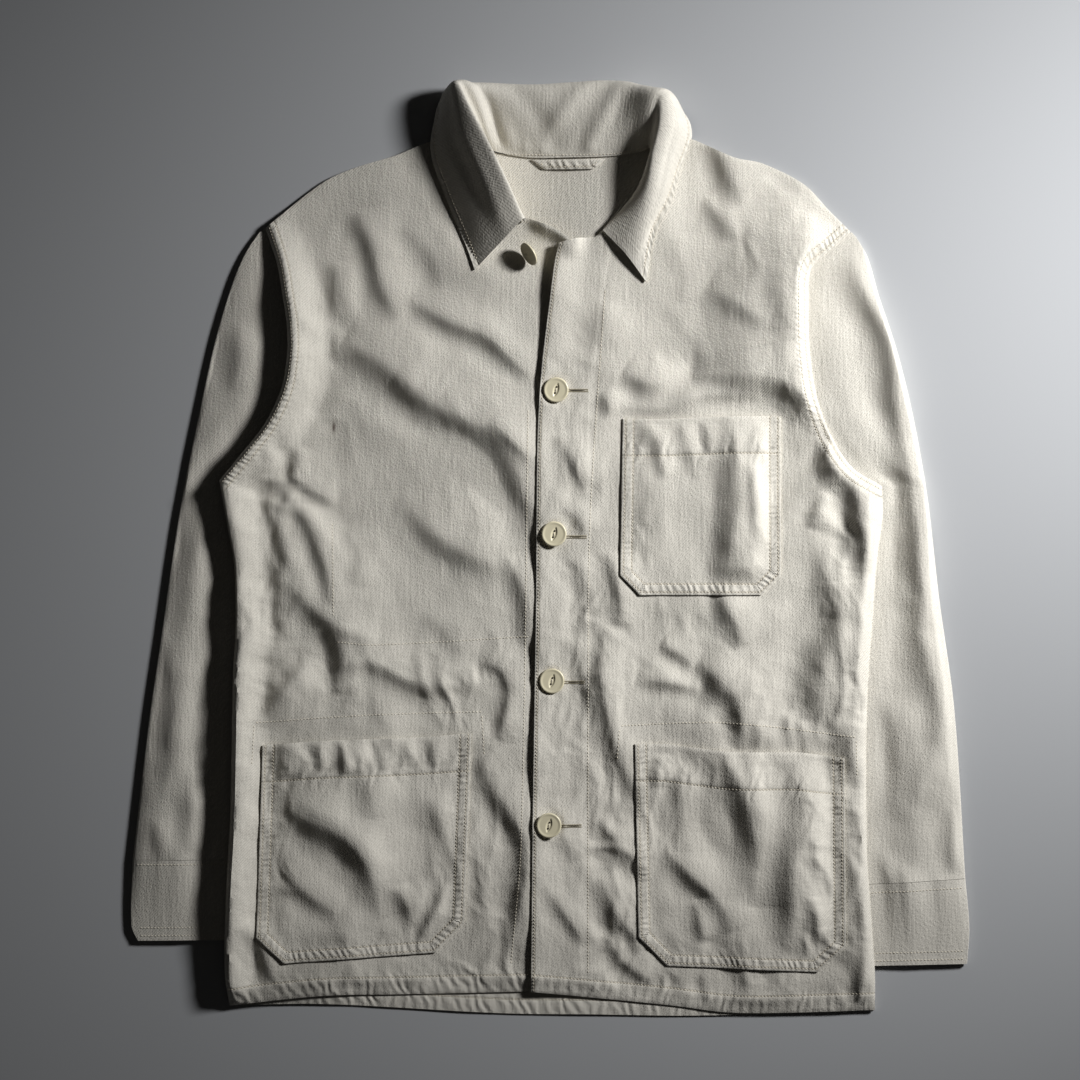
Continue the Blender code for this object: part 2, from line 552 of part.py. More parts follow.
def collar(below):
    """Stand and leaf in one, a section across it at each station of the table."""
    rows = np.array(COLLAR, dtype=float)
    around = [(0, 0), (4, 0), (-4, 0), (0, 4), (0, -4)]
    seam_height = np.max([mesh_heights(rows[:, 0] + dx, rows[:, 1] + dy, below)
                          for dx, dy in around], axis=0)
    stations = np.linspace(0, 1, 33)
    path = np.column_stack([rows[:, :2], seam_height + rows[:, 2], rows[:, 3:]])
    knots = np.linspace(0, 1, len(path))
    lean = np.radians(path[:, 9])
    values = np.column_stack([path[:, :9], np.cos(lean), np.sin(lean), path[:, 10:]])
    grid = []
    for row in through_stations(values, knots, stations):
        seam, roll, rim = row[0:3], row[3:6], row[6:9]
        fall = np.array([row[9], row[10], 0.0])
        fall /= np.linalg.norm(fall)
        bend, tuck = row[11], max(row[12], 0)
        draped = max(1 - tuck / 20, 0)
        flat = 1 - draped
        up = np.array([0, 0, 1.0])
        first = [seam, seam + (roll - seam) * 0.35 * flat + up * (roll[2] - seam[2]) * 0.5 * draped,
                 roll - fall * bend * 0.6, roll]
        second = [roll, roll + fall * bend, rim + (roll - rim) * 0.4 * draped + fall * tuck, rim]
        section = [bezier(first, t) for t in (0, 0.3, 0.6, 0.82)]
        section += [bezier(second, t) for t in (0, 0.14, 0.3, 0.47, 0.65, 0.83, 1)]
        grid.append(section)
    return sheet("collar", np.array(grid), COLLAR_CLOTH, 0.0)


def through_stations(values, knots, at):
    """Read every column at the shares given, on a smooth curve through its values."""
    step = knots[1] - knots[0]
    slope = np.gradient(values, step, axis=0)
    out = []
    for share in at:
        k = min(int(share / step), len(knots) - 2)
        t = (share - knots[k]) / step
        out.append((2 * t**3 - 3 * t**2 + 1) * values[k] + (t**3 - 2 * t**2 + t) * step * slope[k]
                   + (3 * t**2 - 2 * t**3) * values[k + 1] + (t**3 - t**2) * step * slope[k + 1])
    return np.array(out)


def bezier(points, t):
    a, b, c, d = points
    return (1 - t)**3 * a + 3 * (1 - t)**2 * t * b + 3 * (1 - t) * t**2 * c + t**3 * d


def hanger_loop(below):
    left_top, right_top, right_low, left_low = [np.array(p, dtype=float) for p in LOOP]
    across = np.linspace(0, 1, 9)[:, None]
    top = left_top + (right_top - left_top) * across
    low = left_low + (right_low - left_low) * across
    plan = np.array([top, (top + low) / 2, low])
    height = mesh_heights(plan[..., 0], plan[..., 1], below) + SEAM_GAP
    height += 0.8 * np.sin(np.pi * across[:, 0])[None]
    return sheet("hanger_loop", np.dstack([plan[..., 0], plan[..., 1], height]), LOOP_CLOTH)


BUTTON_PROFILE = [(0, 0), (0.74, 0), (0.99, 0.42), (1.0, 0.72), (0.9, 1.0), (0.7, 0.72), (0, 0.66)]


def button_mesh():
    """A turned disc with a raised rim, its axis on z and its lower face at z = 0."""
    bm = bmesh.new()
    radius = BUTTON_DIAMETER / 2 * MM
    height = BUTTON_HEIGHT * MM
    ring = [bm.verts.new((r * radius, 0, z * height)) for r, z in BUTTON_PROFILE]
    lines = [bm.edges.new(pair) for pair in zip(ring, ring[1:])]
    bmesh.ops.spin(bm, geom=ring + lines, cent=(0, 0, 0), axis=(0, 0, 1), angle=2 * math.pi,
                   steps=16, use_merge=True)
    bmesh.ops.remove_doubles(bm, verts=bm.verts, dist=0.00001)
    bmesh.ops.recalc_face_normals(bm, faces=bm.faces)
    return bm


def button(name, x, y, tilt, below):
    """A button laid on the cloth; a tilted one stands on its lower rim."""
    radius = BUTTON_DIAMETER / 2
    angles = np.linspace(0, 2 * math.pi, 24, endpoint=False)
    reach = radius * (1 if not tilt else 0.5)
    ring_x = x + reach * np.cos(angles)
    ring_y = y + reach * np.sin(angles)
    rest = mesh_heights(ring_x, ring_y, below).max() + SEAM_GAP
    rise = radius * math.sin(math.radians(tilt)) if tilt else 0
    piece = finish(name, button_mesh(), CREAM, BUTTON_ROUGHNESS)
    lean = Matrix.Rotation(math.radians(-58), 4, 'Z') @ Matrix.Rotation(math.radians(tilt), 4, 'X')
    place = Matrix.Translation(Vector((x, y, rest + rise)) * MM)
    piece.matrix_world = place @ (lean if tilt else Matrix.Identity(4))
    return piece


def build():
    clear_scene()
    west, west_closed = sleeve(OUTER_WEST, INNER_WEST, CUFF_TILT_WEST, ARMHOLE_WEST, SIDE_WEST,
                               ARMHOLE_PLY_WEST, FOLDS_SLEEVE_WEST)
    east, east_closed = sleeve(OUTER_EAST, INNER_EAST, CUFF_TILT_EAST, ARMHOLE_EAST, SIDE_EAST,
                               ARMHOLE_PLY_EAST, FOLDS_SLEEVE_EAST)
    sleeve_right = tube("sleeve_right", west, CLOTH, west_closed)
    sleeve_left = tube("sleeve_left", east, CLOTH, east_closed)
    cuff_right = tube("cuff_right", cuff(CUFF_OUTER_WEST, CUFF_INNER_WEST, west[-1]), CUFF_CLOTH)
    cuff_left = tube("cuff_left", cuff(CUFF_OUTER_EAST, CUFF_INNER_EAST, east[-1]), CUFF_CLOTH)
    sleeves = tree_of(sleeve_right, sleeve_left, cuff_right, cuff_left)

    back_piece = sheet("back", back())
    laid = sleeves + tree_of(back_piece)

    west_plan = front_plan(SHOULDER_WEST, NECKLINE_WEST, STEP_WEST, ARMHOLE_WEST, SIDE_WEST,
                           EDGE_WEST, FRONT_HEM_WEST)
    under = front("front_right", west_plan, ROLL_WEST, FOLDS_WEST, laid)
    laid += tree_of(under)
    east_plan = front_plan(SHOULDER_EAST, NECKLINE_EAST, STEP_EAST, ARMHOLE_EAST, SIDE_EAST,
                           EDGE_EAST, FRONT_HEM_EAST)
    over = front("front_left", east_plan, ROLL_EAST, FOLDS_EAST, laid, over_other_front)

    on_right = tree_of(under)
    on_left = tree_of(over)
    pocket("pocket_hip_right", POCKET_HIP_RIGHT, on_right)
    pocket("pocket_hip_left", POCKET_HIP_LEFT, on_left)
    pocket("pocket_chest", POCKET_CHEST, on_left)
    hanger_loop(tree_of(back_piece))
    collar(tree_of(back_piece, under, over))
    button("button_1", *FREE_BUTTON, FREE_BUTTON_TILT, on_right)
    for number, (x, y) in enumerate(BUTTONS, start=2):
        button(f"button_{number}", x, y, 0, on_left)
    for piece in bpy.data.objects:
        piece.location.y += CENTRE_Y * MM


build()
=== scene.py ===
"""A cotton chore jacket laid flat: ecru twill, patch pockets, cat-eye buttons and topstitching.

Lengths are in millimetres and become metres when a mesh is made; those of the floor, camera and
lamp are in metres. +X is to the right seen from above, +Y towards the collar and +Z up. "West" is
the wearer's right half, "east" the left.
"""
import math

import bmesh
import bpy
import numpy as np
from mathutils import Matrix, Vector, noise
from mathutils.bvhtree import BVHTree


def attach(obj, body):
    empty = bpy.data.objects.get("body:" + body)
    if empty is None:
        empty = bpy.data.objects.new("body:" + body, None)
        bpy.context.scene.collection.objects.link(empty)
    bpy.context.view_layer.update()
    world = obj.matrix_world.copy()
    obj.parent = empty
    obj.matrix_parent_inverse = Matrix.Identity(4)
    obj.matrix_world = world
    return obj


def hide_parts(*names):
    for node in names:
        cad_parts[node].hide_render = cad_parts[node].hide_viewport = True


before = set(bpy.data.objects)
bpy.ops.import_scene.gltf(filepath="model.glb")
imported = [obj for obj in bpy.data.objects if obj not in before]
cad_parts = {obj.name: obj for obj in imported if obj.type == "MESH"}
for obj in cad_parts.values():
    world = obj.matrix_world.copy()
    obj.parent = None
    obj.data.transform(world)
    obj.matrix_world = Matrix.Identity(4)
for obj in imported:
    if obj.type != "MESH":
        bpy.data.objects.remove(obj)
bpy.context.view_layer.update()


# --- Floor, camera and light ---------------------------------------------------------------
# A plain pale floor, a camera straight above, and one lamp low on the right with a weak even
# fill, so that every fold throws its shade to the left.
FLOOR_SIZE = 12.0
FLOOR_DROP = 0.0004       # the floor lies just below the cloth
FLOOR_COLOUR = (0.50, 0.51, 0.525, 1)
CAMERA_HEIGHT = 3.508
CAMERA_PLACE = (-0.0086, 0.0076)
PICTURE_LEVEL = 0.008     # height at which the picture is this wide
PICTURE_WIDTH = 0.933
SENSOR_WIDTH = 36
LAMP_PLACE = (1.60, 0.82, 1.12)
LAMP_AIM = (0.34, 0.15, 0)
LAMP_SIZE = 0.42
LAMP_SPREAD = 58
LAMP_POWER = 6.6
FILL_STRENGTH = 0.018
FILL_COLOUR = (1.0, 0.965, 0.92, 1)
PICTURE_GAMMA = 0.82


def plain_finish(name, colour, roughness):
    """A finish of one colour, for what is too small or too plain to have a pattern."""
    made = bpy.data.materials.new(name)
    made.use_nodes = True
    shader = made.node_tree.nodes["Principled BSDF"]
    shader.inputs["Base Color"].default_value = colour
    shader.inputs["Roughness"].default_value = roughness
    return made


def placed(name, data):
    """A new object of a mesh, camera or lamp, in the scene."""
    made = bpy.data.objects.new(name, data)
    bpy.context.scene.collection.objects.link(made)
    return made


bm = bmesh.new()
bmesh.ops.create_grid(bm, x_segments=1, y_segments=1, size=FLOOR_SIZE / 2)
bmesh.ops.translate(bm, verts=bm.verts, vec=(0, 0, -FLOOR_DROP))
floor_mesh = bpy.data.meshes.new("floor")
bm.to_mesh(floor_mesh)
bm.free()
floor_mesh.materials.append(plain_finish("floor_paint", FLOOR_COLOUR, 0.8))
placed("floor", floor_mesh)

camera = placed("camera", bpy.data.cameras.new("camera"))
camera.location = (*CAMERA_PLACE, CAMERA_HEIGHT)
camera.data.sensor_width = SENSOR_WIDTH
camera.data.lens = SENSOR_WIDTH * (CAMERA_HEIGHT - PICTURE_LEVEL) / PICTURE_WIDTH
camera.data.clip_end = 20
bpy.context.scene.camera = camera

lamp = placed("lamp", bpy.data.lights.new("lamp", 'AREA'))
lamp.data.shape = 'DISK'
lamp.data.size = LAMP_SIZE
lamp.data.energy = LAMP_POWER
lamp.data.spread = math.radians(LAMP_SPREAD)
lamp.location = LAMP_PLACE
lamp.rotation_euler = (Vector(LAMP_PLACE) - Vector(LAMP_AIM)).to_track_quat('Z', 'Y').to_euler()
world = bpy.data.worlds.new("room")
world.use_nodes = True
fill = world.node_tree.nodes["Background"]
fill.inputs["Color"].default_value = FILL_COLOUR
fill.inputs["Strength"].default_value = FILL_STRENGTH
bpy.context.scene.world = world
bpy.context.scene.view_settings.view_transform = 'Standard'
bpy.context.scene.view_settings.gamma = PICTURE_GAMMA


# --- Sleeves and cuffs ---------------------------------------------------------------------
# Each sleeve is one tube of twill lying flat beside the body, its armhole end sewn under the
# body's felled seam and its inner fold hidden below the body. The cuff is a deeper hem band.
MM = 0.001
CENTRE_Y = 2.0            # how far every piece is moved along y, to lie round the origin
CLOTH = 1.2
CUFF_CLOTH = 1.6
SLEEVE_FLAT = 4.2         # height of a sleeve that is pressed flat
ECRU = (0.72, 0.693, 0.632, 1)

TIP_WEST = (-246, 275)
TIP_EAST = (260, 272)
ARMPIT_WEST = (-283, 57)
ARMPIT_EAST = (285, 52)
HEM_WEST = (-277, -397)
HEM_EAST = (281, -401)
ARMHOLE_WEST = [TIP_WEST, (-236, 245), (-231, 219), (-226.5, 188), (-226.5, 160), (-230, 135),
                (-242, 108), (-266, 77), ARMPIT_WEST]
ARMHOLE_EAST = [TIP_EAST, (242, 256), (226, 240), (223.5, 211), (224.6, 167), (229, 127),
                (241, 94.6), (259, 68), ARMPIT_EAST]
SIDE_WEST = [ARMPIT_WEST, (-279, 20), (-273, -16), (-271.6, -60), (-274, -117), (-276.5, -235),
             (-280, -300), (-281, -370), HEM_WEST]
SIDE_EAST = [ARMPIT_EAST, (287, 24), (283, -9), (279, -60), (274, -141), (274, -260), (278, -325),
             (281, -370), HEM_EAST]
OUTER_WEST = [(-251, 272), (-262, 256), (-273, 232), (-288, 184), (-299.5, 134), (-320, 32),
              (-336.5, -79), (-347, -151), (-361, -271)]
INNER_WEST = [(-283.6, 56.4), (-277, 46), (-262, 30), (-238, 8), (-213, -20), (-194, -58),
              (-184, -105), (-181, -160), (-190, -215), (-212, -271)]
OUTER_EAST = [(264.5, 268.5), (275, 250), (284, 219), (301, 167), (315, 109), (327, 40),
              (337, -46), (350, -141), (359.5, -287)]
INNER_EAST = [(286, 51.4), (280, 41), (265, 25), (241, 3), (216, -26), (196, -66),
              (186, -115), (183, -175), (191, -235), (212, -296)]
CUFF_OUTER_WEST = [(-361, -271.3), (-362.5, -328), (-357, -341)]
CUFF_INNER_WEST = [(-212, -271.3), (-217, -320), (-221, -340)]
CUFF_OUTER_EAST = [(359.5, -287.3), (363, -330), (361, -361)]
CUFF_INNER_EAST = [(212, -296.3), (217, -340), (221, -364)]
CUFF_TILT_EAST = 9        # how much higher the left cuff's seam is at its outer end
# Armhole: share of the way from tip to armpit, how far the upper ply is tucked under the front
# (negative: beside it), and the height of its upper face.
PLY_WEST = [(0, 3, 3.6), (0.10, 4, 3.8), (0.24, 5, 4.6), (0.5, 6.0, 5.2),
            (0.66, 4.0, 5.0), (0.8, -1.8, 4.4), (1, -1.2, 4.2)]
PLY_EAST = [(0, 3, 3.6), (0.10, 5, 4.0), (0.25, 6, 4.6), (0.55, 6, 5.0),
            (0.66, 4, 5.0), (0.8, -1.8, 4.4), (1, -1.2, 4.2)]
LOWER_TUCK = 1.2          # how far the lower ply reaches in under the back
UPPER_SHARES = np.linspace(1, 0, 72) ** 1.25
UNDER_SHARES = np.linspace(0, 1, 25)[1:] ** 1.2
ARMHOLE_STEPS = np.linspace(0, 1, 52)
FOLD_STEPS = np.linspace(0, 1, 101)[1:]
CROWN = [(0, 1), (0.06, 3), (0.2, 3.8), (0.5, 4.4), (1, 4.6)]   # share of the length, rise of the middle
CROWN_ROUNDING = 38       # how far in from its outer fold the sleeve has all of that rise
# Where something starts and where it is full, here and in the sections below:
BESIDE_BODY = (0.55, 1)   # pressing by the body, in shares of the way down the armhole
BODY_SHADE = (16, 46)     # the sleeve's rise, by distance from the body
ARMHOLE_HOLD = (44, 0)    # the hold of the armhole seam, by distance from it
FOLDS_BESIDE = (5, 19)    # the sleeve's folds, by distance from the body,
FOLDS_BELOW = (275, 215)  # by the level below the shoulder tip
FOLDS_IN = (0, 0.06)      # and by the share of the way in from the outer fold
SLEEVE_RIPPLES = [(0.7, 42, 2.5), (0.25, 18, 4.5)]     # rise, size and seed
CUFF_STEPS = 16
CUFF_PRESS = 0.85         # share of the sleeve's crown that is gone at the cuff's end
# Folds of the cloth: the line that each follows, half its width, its rise and, where it has a soft
# crest instead, the rise of that.
SLEEVE_TURNS_WEST = [
    ([(-314, -190), (-316, -262)], 7, 1.8),
    ([(-272, 196), (-276, 164), (-280, 134)], 7, 1.3),
    ([(-306, 57), (-314, -12), (-318, -64)], 10, 1.6),
    ([(-330, -81), (-334, -150), (-337, -219)], 7, 1.2),
    ([(-297, -115), (-301, -167), (-297, -219)], 7, 1.6),
    ([(-346, -236), (-340, -271)], 5, 0.8),
]
SLEEVE_TURNS_EAST = [
    ([(255, 254), (262, 225), (276, 194), (288, 159), (296, 109), (301, 64)], 10, 4.0),
    ([(298, 90), (306, 44), (311, -10), (318, -70)], 9, 3.2),
    ([(309, -43), (321, -112), (327, -169), (314, -197), (307, -224)], 9, 2.4),
    ([(289, 40), (295, -12), (294, -55)], 9, 1.6),
    ([(275, -269), (294, -305), (306, -342)], 7, 2.0),
    ([(328, -288), (340, -311), (356, -333)], 6, 1.6),
    ([(341, -224), (344, -281)], 6, 1.2),
    ([(285, -133), (294, -184), (289, -236)], 8, 1.6),
    ([(301, -276), (302, -345)], 5, 1.2),
]


def smooth(share):
    """0 to 1 with a soft start and end."""
    share = np.clip(share, 0.0, 1.0)
    return share * share * (3 - 2 * share)


def ramp(value, start, full):
    """0 at one value and 1 at another, on either side of it, with a soft start and end."""
    return smooth((value - start) / (full - start))


def between(start, leave, end, arrive, t):
    """A point on the way from start to end, which leaves and arrives as the slopes say."""
    return ((2 * t**3 - 3 * t**2 + 1) * start + (t**3 - 2 * t**2 + t) * leave
            + (3 * t**2 - 2 * t**3) * end + (t**3 - t**2) * arrive)


def lengths_along(line):
    """How far along a line each of its points is."""
    return np.concatenate([[0], np.cumsum(np.linalg.norm(np.diff(line, axis=0), axis=1))])


def curve(points, shares):
    """Points on a smooth curve through the given ones, at shares of its length."""
    knots = np.array(points, dtype=float)
    ends = np.vstack([2 * knots[0] - knots[1], knots, 2 * knots[-1] - knots[-2]])
    fine = []
    for before, start, end, after in zip(ends, ends[1:], ends[2:], ends[3:]):
        run = np.linalg.norm(end - start)
        leave = (end - before) / np.linalg.norm(end - before) * run
        arrive = (after - start) / np.linalg.norm(after - start) * run
        fine += [between(start, leave, end, arrive, t) for t in np.linspace(0, 1, 12, endpoint=False)]
    fine = np.array(fine + [knots[-1]])
    along = lengths_along(fine)
    where = np.asarray(shares) * along[-1]
    return np.column_stack([np.interp(where, along, fine[:, axis]) for axis in range(knots.shape[1])])


def table(rows, at, column):
    """Read one column of a table at the values given."""
    rows = np.array(sorted(rows), dtype=float)
    return np.interp(at, rows[:, 0], rows[:, column])


def from_line(x, y, line):
    """Distance of each point from a line, how far along it that is, and on which side (+1 left)."""
    nearest = np.full(x.shape, np.inf)
    along = np.zeros(x.shape)
    side = np.ones(x.shape)
    passed = 0.0
    for start, end in zip(line, line[1:]):
        run = end - start
        length = math.hypot(*run)
        share = np.clip(((x - start[0]) * run[0] + (y - start[1]) * run[1]) / length**2, 0, 1)
        away = np.hypot(x - start[0] - share * run[0], y - start[1] - share * run[1])
        closer = away < nearest
        nearest = np.where(closer, away, nearest)
        along = np.where(closer, passed + share * length, along)
        turn = run[0] * (y - start[1]) - run[1] * (x - start[0])
        side = np.where(closer, np.sign(turn), side)
        passed += length
    return nearest, along, side


def ripple(x, y, size, seed):
    """Soft irregular noise between about -1 and 1, its hills some size apart."""
    values = [noise.noise(Vector((a / size, b / size, seed))) for a, b in zip(x.ravel(), y.ravel())]
    return 2 * np.array(values).reshape(x.shape)


def ripples(x, y, rows):
    """Ripples of several sizes together, given by their rise, size and seed."""
    return sum(rise * ripple(x, y, size, seed) for rise, size, seed in rows)


FOLD_BREADTH = 1.20       # width of a fold in the middle against its nominal one
STEEPEST_TURN = 0.44      # height of a fold against its half width
FOLD_WANDER = 1.8         # how far a fold strays from its line
FOLD_REACH = 6            # half widths from its line at which nothing of a fold is left
FOLD_CREST = 1.5          # a fold's crest and the hollow before it, as shares of its height
FOLD_HOLLOW = 0.4
FAR_SIDE = 2.3            # how much slower the crest falls on its far side


def turns(x, y, rows):
    """Height of the cloth's folds. Each climbs steeply from the lower left of its line to a crest,
    falls slowly on the other side, and narrows and fades towards its ends."""
    height = np.zeros_like(x)
    wander_x = x + FOLD_WANDER * ripple(x, y, 40, 5.5)
    wander_y = y + FOLD_WANDER * ripple(x, y, 40, 9.5)
    for points, half_width, rise, *crest in rows:
        line = curve(points, np.linspace(0, 1, 14))
        margin = FOLD_REACH * half_width
        near = ((wander_x > line[:, 0].min() - margin) & (wander_x < line[:, 0].max() + margin)
                & (wander_y > line[:, 1].min() - margin) & (wander_y < line[:, 1].max() + margin))
        away, along, side = from_line(wander_x[near], wander_y[near], line)
        share = along / lengths_along(line)[-1]
        heading = line[-1] - line[0]
        facing = 1 if -heading[1] + 0.5 * heading[0] > 0 else -1
        taper = np.sin(np.pi * np.clip(share, 0, 1)) ** (0.5 + half_width / 40)
        broad = half_width * FOLD_BREADTH
        across = side * facing * away / (broad * (0.65 + 0.35 * taper))
        steep = np.exp(-((across - 1) / np.where(across > 1, FAR_SIDE, 1.0)) ** 2)
        hollow = np.exp(-((across + 1.2) / 1.1) ** 2)
        tall = min(1.4 * rise, STEEPEST_TURN * broad)
        soft = sum(crest) * np.exp(-across**2)
        height[near] += taper * (tall * (FOLD_CREST * steep - FOLD_HOLLOW * hollow) + soft)
    return height


class Wire:
    """A socket of a material's nodes, so that shader maths reads as an expression."""

    def __init__(self, tree, socket=None):
        self.tree = tree
        self.socket = socket

    def node(self, kind, settings=None, inputs=None, output=0):
        """Add a node: its settings first, then the values or links of its sockets."""
        made = self.tree.nodes.new("ShaderNode" + kind)
        for name, value in (settings or {}).items():
            setattr(made, name, value)
        for name, value in (inputs or {}).items():
            if isinstance(value, Wire):
                self.tree.links.new(value.socket, made.inputs[name])
            else:
                made.inputs[name].default_value = value
        return Wire(self.tree, made.outputs[output])

    def maths(self, operation, *values):
        return self.node("Math", {"operation": operation}, dict(enumerate(values)))

    def __add__(self, other):
        return self.maths('ADD', self, other)

    def __sub__(self, other):
        return self.maths('SUBTRACT', self, other)

    def __mul__(self, other):
        return self.maths('MULTIPLY', self, other)

    def power_of_e(self):
        return self.maths('POWER', 2.718, self)


WEAVE_PITCH = 1.75        # between the twill's diagonal ribs
SLUB_PITCH = 2.8          # between the uneven warp threads
SLUB_RISE = 0.38
GRAIN_RISE = 0.42
DITCH_DEPTH = 0.32
# Painted shade in the ditch along each sewn row: how much of it, and its colour.
PAINTED_GROOVE_SHARE = 0.28
PAINTED_GROOVE_SHADE = (0.40, 0.355, 0.27, 1)
STAIN_STRENGTH = 0.85
STAIN_SHADE = (0.13, 0.09, 0.07, 1)


def twill(name, rows=(), waves=(), stain=None, rib_rise=0.095):
    """Ecru cotton twill: diagonal ribs, uneven warp threads, soft blotches, a ditch along each
    sewn row, darkened with painted shade, and the small waves that the sewing draws up. A row
    names a channel of the piece's "edges" attribute and a distance; a wave a channel of "edges"
    and "runs", the distance of its middle, its reach, pitch and rise; a stain its middle and half
    its size. All are in mm."""
    made = bpy.data.materials.new(name)
    made.use_nodes = True
    tree = made.node_tree
    shader = tree.nodes["Principled BSDF"]
    shader.inputs["Sheen Weight"].default_value = 0.15
    shader.inputs["Sheen Roughness"].default_value = 0.5
    shader.inputs["Specular IOR Level"].default_value = 0.2
    start = Wire(tree)

    def channels(attribute):
        vector = start.node("Attribute", {"attribute_name": attribute}, output="Vector")
        split = vector.node("SeparateXYZ", inputs={0: vector}).socket.node
        return vector, [Wire(tree, split.outputs[axis]) for axis in range(3)]

    cut, (u, v, _) = channels("cut")

    def clouds(vector, scale, detail):
        return start.node("TexNoise", inputs={"Vector": vector, "Scale": scale, "Detail": detail},
                          output="Fac")

    blotch = clouds(cut, 0.02, 5.0)
    grain = clouds(cut, 0.42, 3.0)
    stretched = cut.node("VectorMath", {"operation": 'MULTIPLY'},
                         {0: cut, 1: (1 / SLUB_PITCH, 1 / (SLUB_PITCH * 8), 0.0)})
    slub = clouds(stretched, 1.0, 2.5)
    phase = (u - v) * (2 * math.pi / WEAVE_PITCH / math.sqrt(2)) + grain * 5.0
    rib = phase.maths('SINE', phase)
    height = rib * rib_rise + slub * SLUB_RISE + grain * GRAIN_RISE
    level = (blotch - 0.5) * 0.20 + (slub - 0.5) * 0.19 + rib * 0.045 + (grain - 0.5) * 0.22 + 1.0

    ditch = None
    if rows or waves:
        distances = channels("edges")[1]
    for channel, distance in rows:
        away = distances["xyz".index(channel)] - distance
        dent = (away * away * -1.3).power_of_e()
        ditch = dent if ditch is None else ditch.maths('MAXIMUM', ditch, dent)
    if ditch:
        height = height - ditch * DITCH_DEPTH
    if waves:
        runs = channels("runs")[1]
        loose = clouds(cut, 0.045, 1.0)
    for channel, middle, reach, pitch, rise in waves:
        away = distances["xyz".index(channel)]
        travel = runs["xyz".index(channel)] + away * 0.35
        wave = travel.maths('SINE', travel * (2 * math.pi / pitch) + loose * 14.0)
        offset = (away - middle) * (1 / reach)
        fade = (offset * offset * -1.0).power_of_e()
        height = height + wave * fade * (loose * 2.0) * rise
    bump = height.node("Bump", inputs={"Strength": 1.0, "Distance": 0.001, "Height": height})
    tree.links.new(bump.socket, shader.inputs["Normal"])

    colour = cut.node("VectorMath", {"operation": 'SCALE'}, {0: ECRU[:3], "Scale": level})

    def painted(share, shade):
        return colour.node("Mix", {"data_type": 'RGBA'}, {0: share, 6: colour, 7: shade}, 2)

    # Painted shade darkens the cloth along the ditch of each sewn row.
    if ditch:
        colour = painted(ditch * PAINTED_GROOVE_SHARE, PAINTED_GROOVE_SHADE)
    if stain:
        x_offset = (u - stain[0]) * (1 / stain[2])
        y_offset = (v - stain[1]) * (1 / stain[3])
        spot = ((x_offset * x_offset + y_offset * y_offset) * -1.0).power_of_e()
        colour = painted(spot * STAIN_STRENGTH, STAIN_SHADE)
    tree.links.new(colour.socket, shader.inputs["Base Color"])
    roughness = grain * 0.1 + 0.84
    tree.links.new(roughness.socket, shader.inputs["Roughness"])
    return made


def finish(name, bm, material, cut=None, edges=None, runs=None):
    """Make a piece of a bmesh whose verts carry the number of their point in the attributes."""
    mesh = bpy.data.meshes.new(name)
    place = bm.verts.layers.int.get("place")
    numbers = np.array([vert[place] for vert in bm.verts]) if place else None
    for vert in bm.verts:
        vert.co.y += CENTRE_Y * MM
    bm.to_mesh(mesh)
    bm.free()
    mesh.shade_smooth()
    mesh.set_sharp_from_angle(angle=math.radians(50))
    for title, values in (("cut", cut), ("edges", edges), ("runs", runs)):
        if values is not None:
            layer = mesh.attributes.new(title, 'FLOAT_VECTOR', 'POINT')
            layer.data.foreach_set("vector", values.reshape(-1, 3)[numbers].ravel())
    mesh.materials.append(material)
    return placed(name, mesh)


def walled(first, second):
    """A closed wall between two grids of points: a bmesh grid, extruded once."""
    rows, columns = first.shape[:2]
    bm = bmesh.new()
    bmesh.ops.create_grid(bm, x_segments=columns - 1, y_segments=rows - 1, size=1)
    place = bm.verts.layers.int.new("place")
    points = first.reshape(-1, 3) * MM
    for number, vert in enumerate(bm.verts):
        vert.co = points[number]
        vert[place] = number
    bmesh.ops.remove_doubles(bm, verts=bm.verts, dist=0.00001)
    made = bmesh.ops.extrude_face_region(bm, geom=list(bm.faces), use_keep_orig=True)
    points = second.reshape(-1, 3) * MM
    for vert in made["geom"]:
        if isinstance(vert, bmesh.types.BMVert):
            vert.co = points[vert[place]]
    bmesh.ops.recalc_face_normals(bm, faces=bm.faces)
    return bm


def tube(name, outer, wall, material, closed_from=0):
    """A flattened tube. A row runs over the upper ply and back under the lower one; rows from
    closed_from on meet again at the inner fold, and those before it leave the armhole open."""
    shares = np.concatenate([UPPER_SHARES, UNDER_SHARES])
    fold = len(UPPER_SHARES) - 1
    across = outer[:, 0, :2] - outer[:, fold, :2]
    across /= np.maximum(np.linalg.norm(across, axis=1), 0.001)[:, None]
    inner = outer.copy()
    draw_in = wall * 1.2 * (1 - 2 * shares)[None, :] * np.ones((len(outer), 1))
    draw_in[:closed_from] = np.maximum(draw_in[:closed_from], 0)
    inner[..., :2] += across[:, None] * draw_in[..., None]
    inner[:, :fold, 2] -= wall
    inner[:, fold + 1:, 2] += wall
    inner[closed_from:, (0, -1), 2] = outer[closed_from:, (0, -1), 2]
    cut = np.dstack([outer[..., :2], np.zeros(outer.shape[:2])])
    return finish(name, walled(outer, inner), material, cut)


def straight(start, end, shares):
    """Points on the straight line between two, at shares of its length."""
    return start + (end - start) * shares[:, None]


def outside_body(points, armhole, side):
    """How far outside the body's outline each point lies, sideways."""
    outline = np.array(armhole + side[1:], dtype=float)
    limit = np.interp(-points[:, 1], -outline[:, 1], np.abs(outline[:, 0]))
    return np.abs(points[:, 0]) - limit


def folded(rows, armhole, side, turn_rows):
    """Rows of a sleeve with the folds of its upper ply."""
    top = rows[:, :len(UPPER_SHARES)]
    x, y = top[..., 0], top[..., 1]
    free = outside_body(top.reshape(-1, 3), armhole, side).reshape(x.shape)
    fade = ramp(free, *FOLDS_BESIDE) * ramp(y, *FOLDS_BELOW) * ramp(UPPER_SHARES, *FOLDS_IN)
    top[..., 2] += fade * (turns(x, y, turn_rows) + ripples(x, y, SLEEVE_RIPPLES))
    return rows


